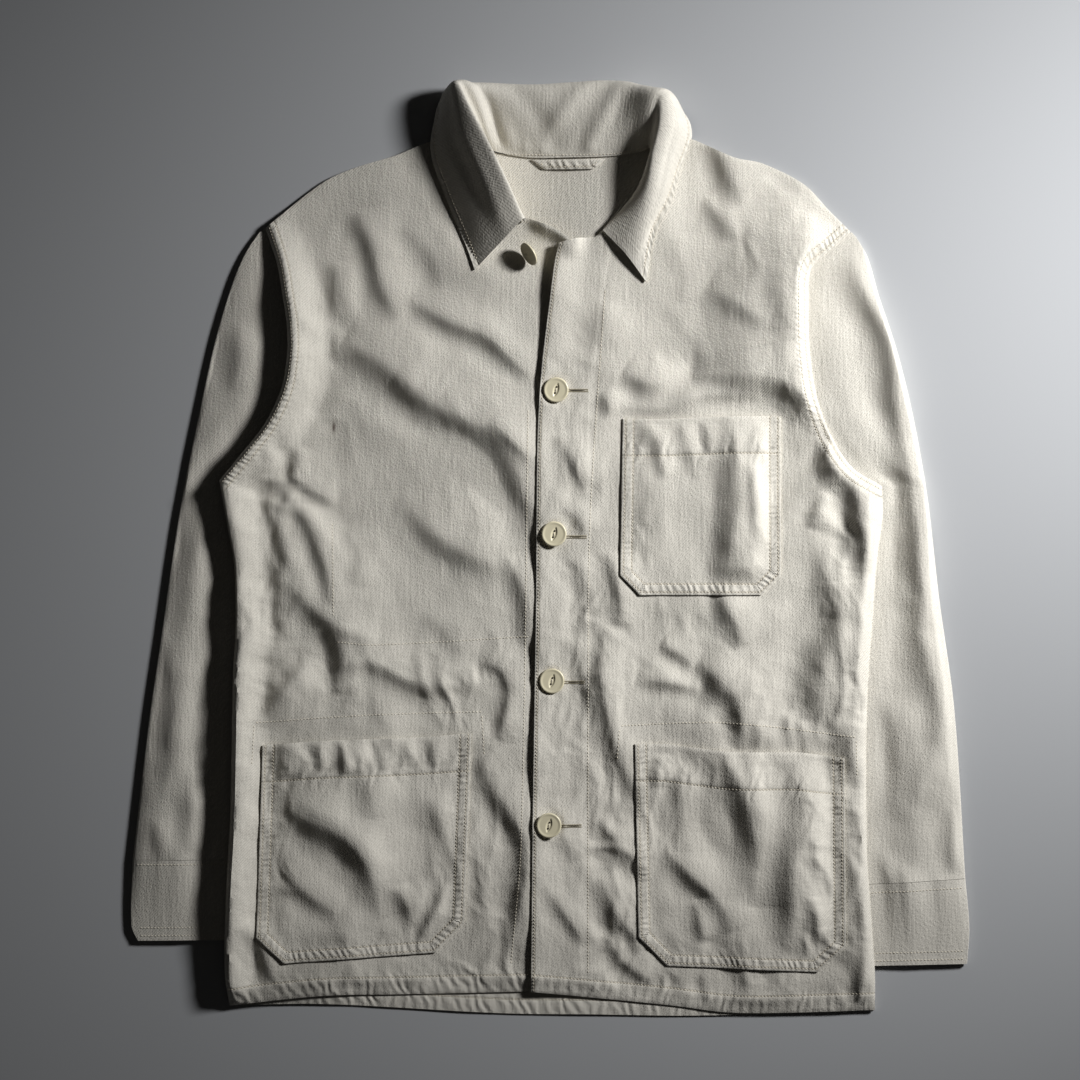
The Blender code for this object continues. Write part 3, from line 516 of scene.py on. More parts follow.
def sleeve_rows(outer, inner, tilt, armhole, side, ply_rows):
    """Rows of a flattened sleeve, from the shoulder tip to the cuff seam."""
    seam = curve(armhole, ARMHOLE_STEPS)
    hidden = curve(inner, FOLD_STEPS)
    ends = np.vstack([seam[:-1], inner[:1], hidden])
    closed_from = len(seam) - 1
    outward = np.sign(armhole[0][0])
    fold_line = curve(outer, np.linspace(0, 1, 200))
    rows = []
    for k, end in enumerate(ends):
        level = end[1] + tilt * max(k - closed_from, 0) / (len(ends) - 1 - closed_from)
        start = np.array([np.interp(-level, -fold_line[:, 1], fold_line[:, 0]), min(level, outer[0][1])])
        share = min(k / closed_from, 1)
        along = k / (len(ends) - 1)
        tuck, held = table(ply_rows, share, 1), table(ply_rows, share, 2)
        is_open = k < closed_from
        upper_end = end - np.array([outward * tuck * is_open, 0])
        lower_end = end + np.array([outward * LOWER_TUCK * is_open, 0])
        from_fold = UPPER_SHARES * np.linalg.norm(end - start)
        points = straight(start, upper_end, UPPER_SHARES)
        flat = ramp(outside_body(points, armhole, side), *BODY_SHADE)
        rounding = np.sqrt(1 - (1 - np.minimum(from_fold / CROWN_ROUNDING, 1)) ** 2)
        beside = ramp(share, *BESIDE_BODY)
        free = SLEEVE_FLAT + table(CROWN, along, 1) * rounding * (1 - beside * (1 - flat))
        hold = ramp(from_fold[0] - from_fold, *ARMHOLE_HOLD) * is_open
        height = held * hold + free * (1 - hold)
        under_height = np.zeros(len(UNDER_SHARES))
        # The plies meet halfway up, at the outer fold and, once the tube is closed, the inner one.
        height[-1] = SLEEVE_FLAT / 2
        if not is_open:
            height[0] = under_height[-1] = SLEEVE_FLAT / 2
        under = straight(start, lower_end, UNDER_SHARES)
        rows.append(np.vstack([np.column_stack([points, height]), np.column_stack([under, under_height])]))
    return np.array(rows), closed_from


def cuff_rows(outer, inner, last_row):
    """Rows of the cuff, which carries on the sleeve's section and flattens to its end."""
    along = np.linspace(0, 1, CUFF_STEPS)
    shares = np.concatenate([UPPER_SHARES, UNDER_SHARES])
    crown = np.maximum(last_row[:, 2] - SLEEVE_FLAT, 0)
    return np.array([np.column_stack([straight(start, end, shares), last_row[:, 2] - crown * pressed])
                     for start, end, pressed in zip(curve(outer, along), curve(inner, along),
                                                    CUFF_PRESS * smooth(along))])


def area_of(*edges):
    """Area in square metres inside edges given one after another round a piece."""
    x, y = np.vstack([np.array(line, dtype=float) for line in edges]).T
    return abs(np.dot(x, np.roll(y, -1)) - np.dot(y, np.roll(x, -1))) / 2 * MM * MM


def stands_for(piece, node):
    """Put a piece in the place of the solid with this node's name."""
    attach(piece, "root")
    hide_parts(node)


plain_twill = twill("twill_plain")
sleeve_facts = [
    ("right", OUTER_WEST, INNER_WEST, 0, ARMHOLE_WEST, SIDE_WEST, PLY_WEST, SLEEVE_TURNS_WEST,
     CUFF_OUTER_WEST, CUFF_INNER_WEST),
    ("left", OUTER_EAST, INNER_EAST, CUFF_TILT_EAST, ARMHOLE_EAST, SIDE_EAST, PLY_EAST, SLEEVE_TURNS_EAST,
     CUFF_OUTER_EAST, CUFF_INNER_EAST),
]
laid = []                 # the pieces that later ones are laid on
cuffs = []
for side_name, outer, inner, tilt, armhole, side, ply, sleeve_turns, cuff_outer, cuff_inner in sleeve_facts:
    rows, closed = sleeve_rows(outer, inner, tilt, armhole, side, ply)
    rows = folded(rows, armhole, side, sleeve_turns)
    sleeve = tube(side_name + "_sleeve", rows, CLOTH, plain_twill, closed)
    stands_for(sleeve, "sleeve_" + side_name)
    cuff = tube(side_name + "_cuff", cuff_rows(cuff_outer, cuff_inner, rows[-1]), CUFF_CLOTH, plain_twill)
    stands_for(cuff, "cuff_" + side_name)
    laid += [sleeve, cuff]
    cuffs.append((side_name, cuff, cuff_outer, cuff_inner))


# --- Back ----------------------------------------------------------------------------------
# One panel of twill from shoulder to hem. It lies on the table, lifted where the sleeves are
# under it, and shows inside the neck and as a narrow strip below the front's hem.
SHOULDER_WEST = [TIP_WEST, (-210, 305), (-189, 319), (-164, 329), (-134, 338), (-104, 350), (-66, 357)]
SHOULDER_EAST = [TIP_EAST, (241, 291), (220, 313), (184, 331), (159, 336), (123, 352), (96, 358)]
BACK_NECK = [(-66, 357), (-52, 342), (-15, 339.5), (54, 340.5), (84, 346), (96, 358)]
BACK_HEM = [HEM_WEST, (-196, -396), (-42, -404), (35, -405), (130, -406), HEM_EAST]
# How far the back is lifted to clear the hidden sleeve: y, and the x out from which it is full.
LIFT_LIMIT = [(112, 300), (84, 264), (57, 236), (30, 218), (5, 194), (-22, 173), (-60, 157),
              (-110, 149), (-170, 147), (-235, 155), (-296, 174), (-372, 182), (-410, 205)]
SEAM_GAP = 0.3            # between pieces that lie on each other
LIFT_FADE = 34
LIFT_LEVELS = (-404, -372)
BACK_WAVE = 0.25
BACK_WAVE_END = (180, 140)        # by distance from the middle
NECK_RISE = 6             # the collar draws the back up on one side of the neck: how far,
NECK_RISE_ACROSS = ((-30, 65), (120, 90))     # between which x, coming from the west and the east,
NECK_RISE_UP = (240, 300)                     # and from which level up
BACK_HEM_ROW = 12.5
BACK_HEM_BAND = 15        # the hem is thicker up to this far from the edge
BACK_BAND_RISE = 0.7
BAND_STEP = 3             # a thicker band ends over this
RIM_SHARE = 0.35          # how much thinner a panel is at its very rim


def edge(*stretches):
    """Join smooth stretches, each given by its points and the number to take, into one edge."""
    parts = [curve(points, np.linspace(0, 1, count)) for points, count in stretches]
    return np.vstack([parts[0]] + [part[1:] for part in parts[1:]])


def shares_along(line):
    """The share of a line's length at which each of its points is."""
    along = lengths_along(line)
    return along / along[-1]


def patch(top, bottom, left, right):
    """Fill four edges with a grid; rows run from top to bottom, columns from left to right."""
    u = shares_along(top)[None, :, None]
    v = shares_along(left)[:, None, None]
    across = (1 - v) * top[None] + v * bottom[None]
    down = (1 - u) * left[:, None] + u * right[:, None]
    corners = ((1 - u) * (1 - v) * top[0] + u * (1 - v) * top[-1]
               + (1 - u) * v * bottom[0] + u * v * bottom[-1])
    return across + down - corners


def back_lift(x, y):
    """Height of the back's lower face over the table: raised where a sleeve is beneath."""
    limit = table(LIFT_LIMIT, y, 1)
    near_hem = ramp(y, *LIFT_LEVELS)
    return (SLEEVE_FLAT + SEAM_GAP) * ramp(np.abs(x), limit - LIFT_FADE, limit) * near_hem


def trees_of(pieces):
    """Search trees of finished pieces, for laying cloth on them."""
    bpy.context.view_layer.update()
    graph = bpy.context.evaluated_depsgraph_get()
    return [BVHTree.FromObject(piece, graph) for piece in pieces]


def heights(x, y, below):
    """Height of the highest of the pieces below at each point, -1 where there is none."""
    found = np.full(x.shape, -1.0)
    down = Vector((0, 0, -1))
    for index in np.ndindex(x.shape):
        start = Vector((x[index] * MM, (y[index] + CENTRE_Y) * MM, 1.0))
        for tree in below:
            hit = tree.ray_cast(start, down)[0]
            if hit is not None:
                found[index] = max(found[index], hit.z / MM)
    return found


def band(width, distance):
    """1 on a band along an edge, given the distances from it, and 0 beyond."""
    return smooth((width - distance) / BAND_STEP)


def panel(name, x, y, height, thickness, material, edges, runs):
    """A panel of cloth on its lower face's heights, its rim slightly rounded."""
    rim = np.ones(x.shape)
    rim[1:-1, 1:-1] = 0
    upper = height + thickness - rim * thickness * RIM_SHARE
    cut = np.dstack([x, y, np.zeros(x.shape)])
    return finish(name, walled(np.dstack([x, y, height]), np.dstack([x, y, upper])), material, cut,
                  np.dstack(edges), np.dstack(runs))


STITCH_PITCH = 2.9
STITCH_LENGTH = 2.25
THREAD_WIDTH = 0.8
# Outline of one stitch: share of its length, share of its width, and height over the cloth.
STITCH_FORM = [(-0.5, 0.3, -0.25), (-0.2, 1, 0.14), (0.2, 1, 0.14), (0.5, 0.3, -0.25)]
sewing_thread = plain_finish("sewing_thread", (0.76, 0.71, 0.61, 1), 0.7)


def inset(line, distance):
    """A line moved to its left by a distance, without the loops that this makes at corners."""
    along = np.gradient(line, axis=0)
    along /= np.linalg.norm(along, axis=1)[:, None]
    moved = line + distance * np.column_stack([-along[:, 1], along[:, 0]])
    away = from_line(moved[:, 0], moved[:, 1], line)[0]
    return moved[away > abs(distance) - 0.05]


def sewn(name, middles, headings, carriers, length, width, thread):
    """Small lenses of thread on some pieces, given by their middles and headings from above."""
    tree = trees_of(carriers)
    start = middles - headings * length / 2
    end = middles + headings * length / 2
    start_height = heights(start[:, 0], start[:, 1], tree)
    end_height = heights(end[:, 0], end[:, 1], tree)
    kept = np.minimum(start_height, end_height) > 0
    centre = np.column_stack([middles, heights(middles[:, 0], middles[:, 1], tree)])[kept]
    forward = np.column_stack([headings * length, end_height - start_height])[kept]
    aside = np.column_stack([-headings[:, 1], headings[:, 0], np.zeros(len(headings))])[kept] * width / 2
    rings = []
    for share, broad, rise in STITCH_FORM:
        spine = centre + forward * share + [0, 0, rise]
        for turn_x, turn_z in ((1, 0), (0, 1), (-1, 0), (0, -1)):
            rings.append(spine + aside * turn_x * broad + [0, 0, turn_z * broad * width / 2])
    points = np.stack(rings, axis=1)
    points[..., 1] += CENTRE_Y
    last = 4 * (len(STITCH_FORM) - 1)
    faces = np.array([(k + j, k + (j + 1) % 4, k + 4 + (j + 1) % 4, k + 4 + j)
                      for k in range(0, last, 4) for j in range(4)]
                     + [(3, 2, 1, 0), (last, last + 1, last + 2, last + 3)])
    faces = (faces[None] + 4 * len(STITCH_FORM) * np.arange(len(points))[:, None, None]).reshape(-1, 4)
    mesh = bpy.data.meshes.new(name)
    mesh.from_pydata((points.reshape(-1, 3) * MM).tolist(), [], faces.tolist())
    mesh.shade_smooth()
    mesh.materials.append(thread)
    piece = placed(name, mesh)
    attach(piece, "root")


def stitches(name, lines, carrier):
    """Rows of topstitching along lines seen from above."""
    middles, headings = [], []
    for line in lines:
        line = np.array(line, dtype=float)
        count = max(int(lengths_along(line)[-1] / STITCH_PITCH), 1)
        points = curve(line, (np.arange(count) + 0.5) / count)
        ahead = curve(line, (np.arange(count) + 0.8) / count) - points
        middles.append(points)
        headings.append(ahead / np.linalg.norm(ahead, axis=1)[:, None])
    sewn(name, np.vstack(middles), np.vstack(headings), [carrier], STITCH_LENGTH, THREAD_WIDTH,
         sewing_thread)


CUFF_ROWS = (4.3, 11.2, 66)       # up from the cuff's end
for side_name, cuff, *lines in cuffs:
    seam, end = [np.array([line[place] for line in lines], dtype=float) for place in (0, -1)]
    rows = []
    for up in CUFF_ROWS:
        at_outer, at_inner = end + (seam - end) * up / np.linalg.norm(seam[0] - end[0])
        rows.append([at_outer + (at_inner - at_outer) * 0.02, at_inner])
    stitches(side_name + "_cuff_stitches", rows, cuff)


back_top = edge((SHOULDER_WEST, 45), (BACK_NECK, 45), (SHOULDER_EAST[::-1], 45))
back_left = edge((ARMHOLE_WEST, 50), (SIDE_WEST, 90))
back_right = edge((ARMHOLE_EAST, 50), (SIDE_EAST, 90))
back_bottom = curve(BACK_HEM, shares_along(back_top))
plan = patch(back_top, back_bottom, back_left, back_right)
x, y = plan[..., 0], plan[..., 1]
hem_distance, hem_run, _ = from_line(x, y, back_bottom)
back_height = back_lift(x, y) + BACK_WAVE * (1 + ripple(x, y, 46, 1.5)) * ramp(np.abs(x), *BACK_WAVE_END)
from_west, from_east = [ramp(x, *limits) for limits in NECK_RISE_ACROSS]
back_height += NECK_RISE * from_west * from_east * ramp(y, *NECK_RISE_UP)
back_height = np.maximum(back_height, 0)
back_thick = CLOTH + BACK_BAND_RISE * band(BACK_HEM_BAND, hem_distance)
back_twill = twill("twill_back", [("x", BACK_HEM_ROW)], [("x", 7, 9, 9.5, 0.30)])
back = panel("back_panel", x, y, back_height, back_thick, back_twill, [hem_distance] * 3, [hem_run] * 3)
stands_for(back, "back")
stitches("back_hem_stitches", [inset(back_bottom, BACK_HEM_ROW)], back)
laid.append(back)


# --- Right front ---------------------------------------------------------------------------
# The under front of the pair, cut from shoulder to hem, felled over the sleeve at the armhole
# and turned under twice at the hem. Its centre edge is hidden below the left front.
NECKLINE_WEST = [(-66, 357), (-60, 338), (-52, 319), (-36, 299), (-18, 283.5)]
STEP_WEST = [(-18, 283.5), (6, 274), (21.6, 262)]
EDGE_WEST = [(21.6, 262), (12, 60), (10, -150), (9, -384)]
FRONT_HEM_WEST = [HEM_WEST, (-196, -388.5), (-136, -387.5), (-18, -385), (9, -384)]
NECK_CENTRE = (10, 335)
# Roll of the front's outer edge: y, lift of the very edge, crest, how far in it fades, and how
# far in from the edge the crest is.
ROLL_WEST = [(280, 1, 2.5, 30, 5), (250, 7, 9, 30, 4), (215, 14, 17, 34, 3.5), (165, 17, 20, 36, 3.5),
             (110, 14, 18.5, 34, 3.5), (57, 4, 15.5, 30, 4), (0, 2.5, 16, 30, 4), (-120, 2.5, 16.5, 30, 4),
             (-300, 2, 15.5, 28, 4), (-380, 0.5, 11, 24, 4), (-400, 0, 5, 24, 4)]
ARMHOLE_ROWS = (3.5, 9.5)
HEM_ROW = 15
ARMHOLE_BAND = 11
HEM_BAND = 16
BAND_RISE = 0.7
FACING_RISE = 0.5
FACING_STEP = 5
TURNS_WEST = [
    ([(-171, 289), (-159, 246), (-149, 213), (-137, 191)], 9, 3.0),
    ([(-125, 209), (-95, 189), (-60, 174), (-39, 159), (-16, 144)], 7, 3.0),
    ([(-183, 172), (-157, 156), (-130, 135), (-105, 116)], 11, 3.6),
    ([(-143, 135), (-112, 114), (-73, 99), (-52, 79), (-28, 40), (-19, 6)], 12, 5.0),
    ([(-57, 106), (-39, 88), (-21, 70)], 5, 1.5),
    ([(-137, 42), (-117, 13), (-95, -5), (-60, -22), (-33, -29)], 12, 2.8),
    ([(-192, 246), (-191, 197)], 6, 1.4),
    ([(-194, 189), (-188, 159)], 5, 0.9),
    ([(-216, 197), (-204, 173)], 5, 1.0),
    ([(-176, 265), (-173, 222), (-176, 187)], 8, 0, 1.6),
    ([(-223, 85), (-227, 56)], 5, 1.6),
    ([(-230, 59), (-211, 47), (-188, 35)], 5, 1.8),
    ([(-247, 64), (-226, 45), (-206, 25), (-190, 0)], 6, 0, 1.8),
    ([(-252, 40), (-240, 19), (-237, -12), (-241, -46), (-238, -81)], 8, 4.0),
    ([(-221, 30), (-206, 1), (-194, -25), (-189, -51)], 6, 2.6),
    ([(-230, -36), (-212, -55), (-192, -72), (-173, -82), (-149, -86)], 9, 3.6),
    ([(-194, -70), (-185, -98), (-187, -126)], 7, 2.6),
    ([(-181, 16), (-168, -12), (-171, -32)], 6, 1.2),
    ([(-40, -8), (-26, -46), (-24, -86)], 7, 2.0),
    ([(-190, -112), (-157, -108), (-130, -121), (-102, -127), (-54, -121)], 9, 4.6),
    ([(-64, -103), (-48, -110), (-41, -128), (-43, -146), (-49, -165)], 6, 3.0),
    ([(-214, -91), (-228, -115), (-244, -138), (-253, -152)], 7, 2.6),
    ([(-256, -146), (-254, -178)], 4, 1.0),
    ([(-66, -181), (-48, -219), (-33, -247), (-29, -280), (-32, -316), (-41, -356)], 8, 3.6),
    ([(-270, -328), (-256, -350), (-245, -375)], 6, 2.4),
    ([(-214, 120), (-230, 94), (-252, 66)], 6, 1.2),
    ([(-249, -81), (-245, -124), (-249, -167)], 6, 1.6),
    ([(-112, -57), (-95, -81), (-76, -100)], 9, 1.2),
    ([(-130, 272), (-108, 246), (-95, 222)], 10, 1.4),
]
# Where the cloth is crumpled: x, y, reach across and down, and rise.
CRUMPLES_WEST = [(-240, 55, 38, 30, 1.4), (-250, -30, 28, 110, 2.4), (-262, -250, 18, 150, 1.8),
                 (-170, -120, 90, 30, 1.5), (-60, -130, 40, 50, 1.4), (-45, -300, 34, 90, 1.6),
                 (-150, -372, 110, 16, 1.4), (-200, 150, 34, 70, 0.9), (-90, 60, 90, 90, 0.5)]
FRONT_COLUMNS = (66, 50, 18)
FRONT_ROWS = (120, 236)
ARMPIT_OVERHANG = 2.6     # how far a front reaches over the sleeve's open stretch near the armpit
NECK_CALM = (84, 124)     # a front's folds, by distance from the middle of the neck,
HEM_CALM = (0, 14)        # and by distance from the hem
CRUMPLES_CALM = (0, 6)
ROLL_AT_HEM = (-9.1, 16.9)        # a quarter of the rolled edge's height is left at the very hem
FRONT_LOFT = 2.0          # how far a front stands off the back
FRONT_RIPPLES = [(1.3, 60, 3.5), (0.32, 24, 6.5), (0.12, 11, 8.5)]
CRUMPLE_SHARE = 1.25
LIFT_ROUNDS = 6           # how softly a sheet is raised over what lies beneath it


def crumples(x, y, spots):
    """Small crossing wrinkles with narrow crests, strongest in the middle of each spot: its x and
    y, its reach along x and y, and the rise of the wrinkles."""
    strength = np.zeros_like(x)
    for cx, cy, reach_x, reach_y, rise in spots:
        strength += rise * np.exp(-((x - cx) / reach_x) ** 2 - ((y - cy) / reach_y) ** 2)
    bent_x = x + 8 * ripple(x, y, 38, 12.5)
    bent_y = y + 8 * ripple(x, y, 38, 13.5)
    broad = 1 - np.sqrt(ripple(bent_x, bent_y * 0.6, 21, 14.5) ** 2 + 0.02)
    narrow = 1 - np.sqrt(ripple(bent_x, bent_y * 0.8, 10, 16.5) ** 2 + 0.03)
    return strength * (broad + 0.35 * narrow - 0.8)


def spread_max(values):
    """The highest of each point and its neighbours in a grid."""
    padded = np.pad(values, 1, mode="edge")
    rows, columns = values.shape
    return np.max([padded[i:i + rows, j:j + columns] for i in range(3) for j in range(3)], axis=0)


def blurred(values, rounds):
    """A grid's values evened out with their neighbours'."""
    for _ in range(rounds):
        padded = np.pad(values, 1, mode="edge")
        values = (padded[1:-1, :-2] + padded[1:-1, 2:] + padded[:-2, 1:-1] + padded[2:, 1:-1]
                  + 4 * padded[1:-1, 1:-1]) / 8
    return values


def settled(x, y, height, below):
    """A sheet's height, raised softly wherever it would touch what lies beneath it."""
    lowest = spread_max(heights(x, y, below)) + SEAM_GAP
    lift = blurred(spread_max(np.maximum(lowest - height, 0)), LIFT_ROUNDS)
    return np.maximum(height + lift, lowest)


def front_plan(shoulder, neckline, step, armhole, side, centre, hem):
    """Grid of a front's plan and its four edges: top, bottom, outer and centre."""
    top = edge(*zip((shoulder, neckline, step), FRONT_COLUMNS))
    outer = edge(*zip((armhole, side), FRONT_ROWS))
    reach = np.interp(outer[:, 1], [20, 60, 120, 170], [0, 1, 1, 0])
    outer[:, 0] += np.sign(outer[0, 0]) * ARMPIT_OVERHANG * reach
    bottom = curve(hem, shares_along(top))
    inner = curve(centre, shares_along(outer))
    return patch(top, bottom, outer, inner), top, bottom, outer, inner


def edge_roll(rows, y, distance):
    """Lift of a front near its outer edge: up quickly to a crest, then slowly down again."""
    lift, crest, fade, reach = [table(rows, y, column) for column in (1, 2, 3, 4)]
    climb = np.clip(distance / reach, 0, 1)
    rising = lift + (crest - lift) * np.sqrt(1 - (1 - climb) ** 2)
    return rising * (1 - smooth((distance - reach) / fade))


def front_heights(x, y, outer_distance, hem_distance, roll, turn_rows, spots):
    """Lower face of a front over the back: rolled at its outer edge, turned and rippled."""
    neck_fade = ramp(np.hypot(x - NECK_CENTRE[0], y - NECK_CENTRE[1]), *NECK_CALM)
    calm = ramp(hem_distance, *HEM_CALM) * smooth(outer_distance / (table(roll, y, 4) + 2))
    height = back_lift(x, y) + CLOTH + SEAM_GAP
    height += edge_roll(roll, y, outer_distance) * ramp(hem_distance, *ROLL_AT_HEM)
    height += (FRONT_LOFT + turns(x, y, turn_rows)) * calm * neck_fade
    height += ripples(x, y, FRONT_RIPPLES) * calm * (0.3 + 0.7 * neck_fade)
    return height + CRUMPLE_SHARE * crumples(x, y, spots) * ramp(hem_distance, *CRUMPLES_CALM) * neck_fade


def front(name, outline, roll, turn_rows, spots, shaped, material, facing=0):
    """Make a front of the stretches of its outline, laid on what is there. "shaped" gives its
    heights what only this one has; "facing" is the width of its thicker centre band. Also
    returned are the rows sewn at its armhole and hem, its centre line and its area."""
    plan, top, bottom, outer, centre = front_plan(*outline)
    x, y = plan[..., 0], plan[..., 1]
    armhole = outer[:FRONT_ROWS[0]]
    armhole_distance, armhole_along, _ = from_line(x, y, armhole)
    hem_distance, hem_along, _ = from_line(x, y, bottom)
    outer_distance = from_line(x, y, outer)[0]
    centre_distance = from_line(x, y, centre)[0]
    height = front_heights(x, y, outer_distance, hem_distance, roll, turn_rows, spots)
    height = settled(x, y, shaped(x, y, height, centre_distance), trees_of(laid))
    thick = CLOTH + BAND_RISE * np.maximum(band(HEM_BAND, hem_distance),
                                           band(ARMHOLE_BAND, armhole_distance))
    thick += FACING_RISE * smooth((facing - centre_distance) / FACING_STEP)
    piece = panel(name, x, y, height, thick, material, [armhole_distance, hem_distance, centre_distance],
                  [armhole_along, hem_along, y])
    inward = -np.sign(armhole[0, 0])
    sewn_rows = [inset(armhole, inward * row) for row in ARMHOLE_ROWS] + [inset(bottom, inward * HEM_ROW)]
    return piece, sewn_rows, centre, area_of(top, centre, bottom[::-1], outer[::-1])


STEP_LIFT = 8.5           # the neck edge beside the opening stands up off the other front
STEP_REACH = 9
STEP_START = (-24, -4)


def stepped(x, y, height, _):
    """The right front's heights, lifted at the neck edge beside the opening."""
    distance = from_line(x, y, curve(STEP_WEST, np.linspace(0, 1, 12)))[0]
    return height + STEP_LIFT * np.exp(-(distance / STEP_REACH) ** 2) * ramp(x, *STEP_START)


HEM_WAVES = ("y", 8, 10, 9.5, 0.26)
ARMHOLE_WAVES = ("x", 6.5, 5, 5.2, 0.26)
FRONT_SEWN = [("x", ARMHOLE_ROWS[0]), ("x", ARMHOLE_ROWS[1]), ("y", HEM_ROW)]
UNDER_FACING_ROW = [(-19, 118), (-25, -256), (-33.7, -361)]
HIP_TAPE_ROW_WEST = [(-254, -152), (-160, -146), (-59, -143)]
HIP_TAPE_ENDS_WEST = ([(-255, -154), (-257, -188)], [(-59, -146), (-57, -180)])
INNER_POCKET_ROW = [(-184, -82.5), (-151, -85), (-18, -78)]
INNER_POCKET_SIDE = [(-187, -60), (-188, 20)]
front_twill = twill("twill_front", FRONT_SEWN, [ARMHOLE_WAVES, HEM_WAVES], stain=(-187, 103, 1.3, 4.5))
front_right, right_rows, _, right_area = front(
    "right_front",
    (SHOULDER_WEST, NECKLINE_WEST, STEP_WEST, ARMHOLE_WEST, SIDE_WEST, EDGE_WEST, FRONT_HEM_WEST),
    ROLL_WEST, TURNS_WEST, CRUMPLES_WEST, stepped, front_twill)
stands_for(front_right, "front_right")
stitches("right_front_stitches", [*right_rows, UNDER_FACING_ROW, HIP_TAPE_ROW_WEST, *HIP_TAPE_ENDS_WEST,
                                  INNER_POCKET_ROW, INNER_POCKET_SIDE], front_right)
laid.append(front_right)


# --- Left front ----------------------------------------------------------------------------
# The over front, with the buttonholes. Its centre edge lies over the right front and stands
# off it a little, most at the neck, so that it throws a narrow shadow.
NECKLINE_EAST = [(96, 358), (88, 340), (79, 322), (68, 303), (56, 287), (45, 273)]
STEP_EAST = [(45, 273), (39, 268), (24, 266.5), (8, 262.5)]
EDGE_EAST = [(8, 262.5), (4.3, 247), (0, 214), (-7, 156), (-10.5, 101), (-11.5, 35), (-12, -44),
             (-14.7, -219), (-16.4, -385)]
FRONT_HEM_EAST = [HEM_EAST, (200, -403.5), (153, -403), (105, -397), (34.6, -390), (-16.4, -385)]
ROLL_EAST = [(275, 1.6, 1.6, 34, 10), (250, 2.2, 2.2, 36, 11), (211, 2.4, 2.7, 40, 9),
             (150, 2.4, 2.8, 36, 9), (95, 2, 2.9, 34, 11), (52, 0.8, 4.6, 32, 12), (0, 0.2, 6.5, 30, 10),
             (-120, 0, 6.5, 26, 10), (-300, 0, 6.5, 24, 10), (-380, 0, 3.5, 24, 10), (-405, 0, 1.5, 24, 10)]
STAND_OFF = 3.2
STAND_OFF_TOP = 3.6
STAND_OFF_LEVELS = (180, 240)
STAND_OFF_REACH = (30, 0)         # by distance from the edge
OVERLAP_END = (76, 42)
FACING_WIDTH = 47
EDGE_ROW = 2.2
CRUMPLES_EAST = [(256, 30, 26, 110, 1.8), (262, -240, 16, 160, 2.4), (200, -150, 60, 26, 1.8),
                 (20, -100, 40, 170, 1.2), (55, -290, 30, 100, 2.0), (170, -380, 110, 16, 2.2),
                 (120, -90, 90, 60, 1.0), (200, 130, 50, 60, 0.9), (190, 270, 60, 60, 0.8),
                 (20, 150, 30, 90, 0.9)]
TURNS_EAST = [
    ([(132, 353), (143, 332), (152, 311), (162, 292)], 9, 3.0),
    ([(131, 301), (143, 280), (156, 261)], 7, 2.0),
    ([(199, 310), (191, 270), (187, 229), (191, 190), (197, 150)], 15, 3.8),
    ([(172, 330), (158, 275), (150, 222), (152, 170), (166, 120)], 28, 5.2),
    ([(214, 289), (212, 249), (214, 216)], 7, 1.6),
    ([(130, 216), (160, 197), (186, 187)], 12, 2.4),
    ([(105, 268), (110, 211)], 6, 1.2),
    ([(41, 213), (38, 173)], 6, 1.0),
    ([(59, 146), (81, 135), (102, 137), (124, 152)], 7, 2.6),
    ([(41, 132), (48, 111)], 5, 1.6),
    ([(59, 116), (95, 115), (133, 122), (183, 127)], 6, 2.0),
    ([(125, 141), (164, 138), (195, 134), (214, 119), (233, 99)], 12, 8.0),
    ([(235, 92), (239, 51)], 7, 3.0),
    ([(233, 49), (220, 19)], 5, 1.8),
    ([(235, 9), (228, -31), (237, -64), (226, -98), (223, -136), (227, -174)], 12, 9.0),
    ([(254, 68), (261, 30), (270, -12), (273, -55), (269, -95)], 8, 4.0),
    ([(2, 95), (16, 66), (29, 47)], 7, 2.6),
    ([(10, 30), (28, 7)], 5, 1.4),
    ([(17, -12), (29, -39), (33, -69)], 6, 1.4),
    ([(45, -5), (52, -44), (54, -69)], 7, 3.0),
    ([(45, -69), (37, -105), (41, -143), (55, -186), (71, -222)], 8, 3.0),
    ([(143, -43), (150, -64), (161, -88)], 8, 3.4),
    ([(95, -91), (123, -107)], 6, 2.6),
    ([(126, -102), (143, -124), (156, -138), (157, -174)], 9, 5.0),
    ([(74, -121), (131, -127)], 5, 1.8),
    ([(175, -152), (178, -178)], 4, 1.2),
    ([(200, -146), (207, -178)], 4, 1.6),
    ([(214, -152), (219, -181)], 4, 1.4),
    ([(40, -238), (56, -262), (79, -290)], 7, 2.6),
    ([(40, -285), (55, -323), (79, -352)], 8, 3.2),
    ([(-7, -293), (9, -318), (28, -347)], 6, 2.2),
    ([(43, -337), (62, -362), (90, -381)], 6, 2.2),
    ([(-2, -219), (5, -250), (17, -276)], 6, 1.6),
    ([(266, -198), (268, -271), (265, -343)], 5, 2.6),
    ([(266, -302), (271, -344), (270, -381)], 5, 2.0),
    ([(14, -81), (24, -124), (21, -167)], 6, 1.4),
    ([(171, -77), (207, -46)], 10, 0, 1.6),
    ([(78, 213), (121, 170), (130, 151)], 14, 1.6),
]
BUTTONS = [(5.2, 135.2), (3.5, 10.8), (1.7, -116.2), (-0.9, -240.6)]
BUTTON_SEAT = (15, 9)     # each button's hold on the cloth, by distance from its middle
SEAT_DEPTH = 1.0


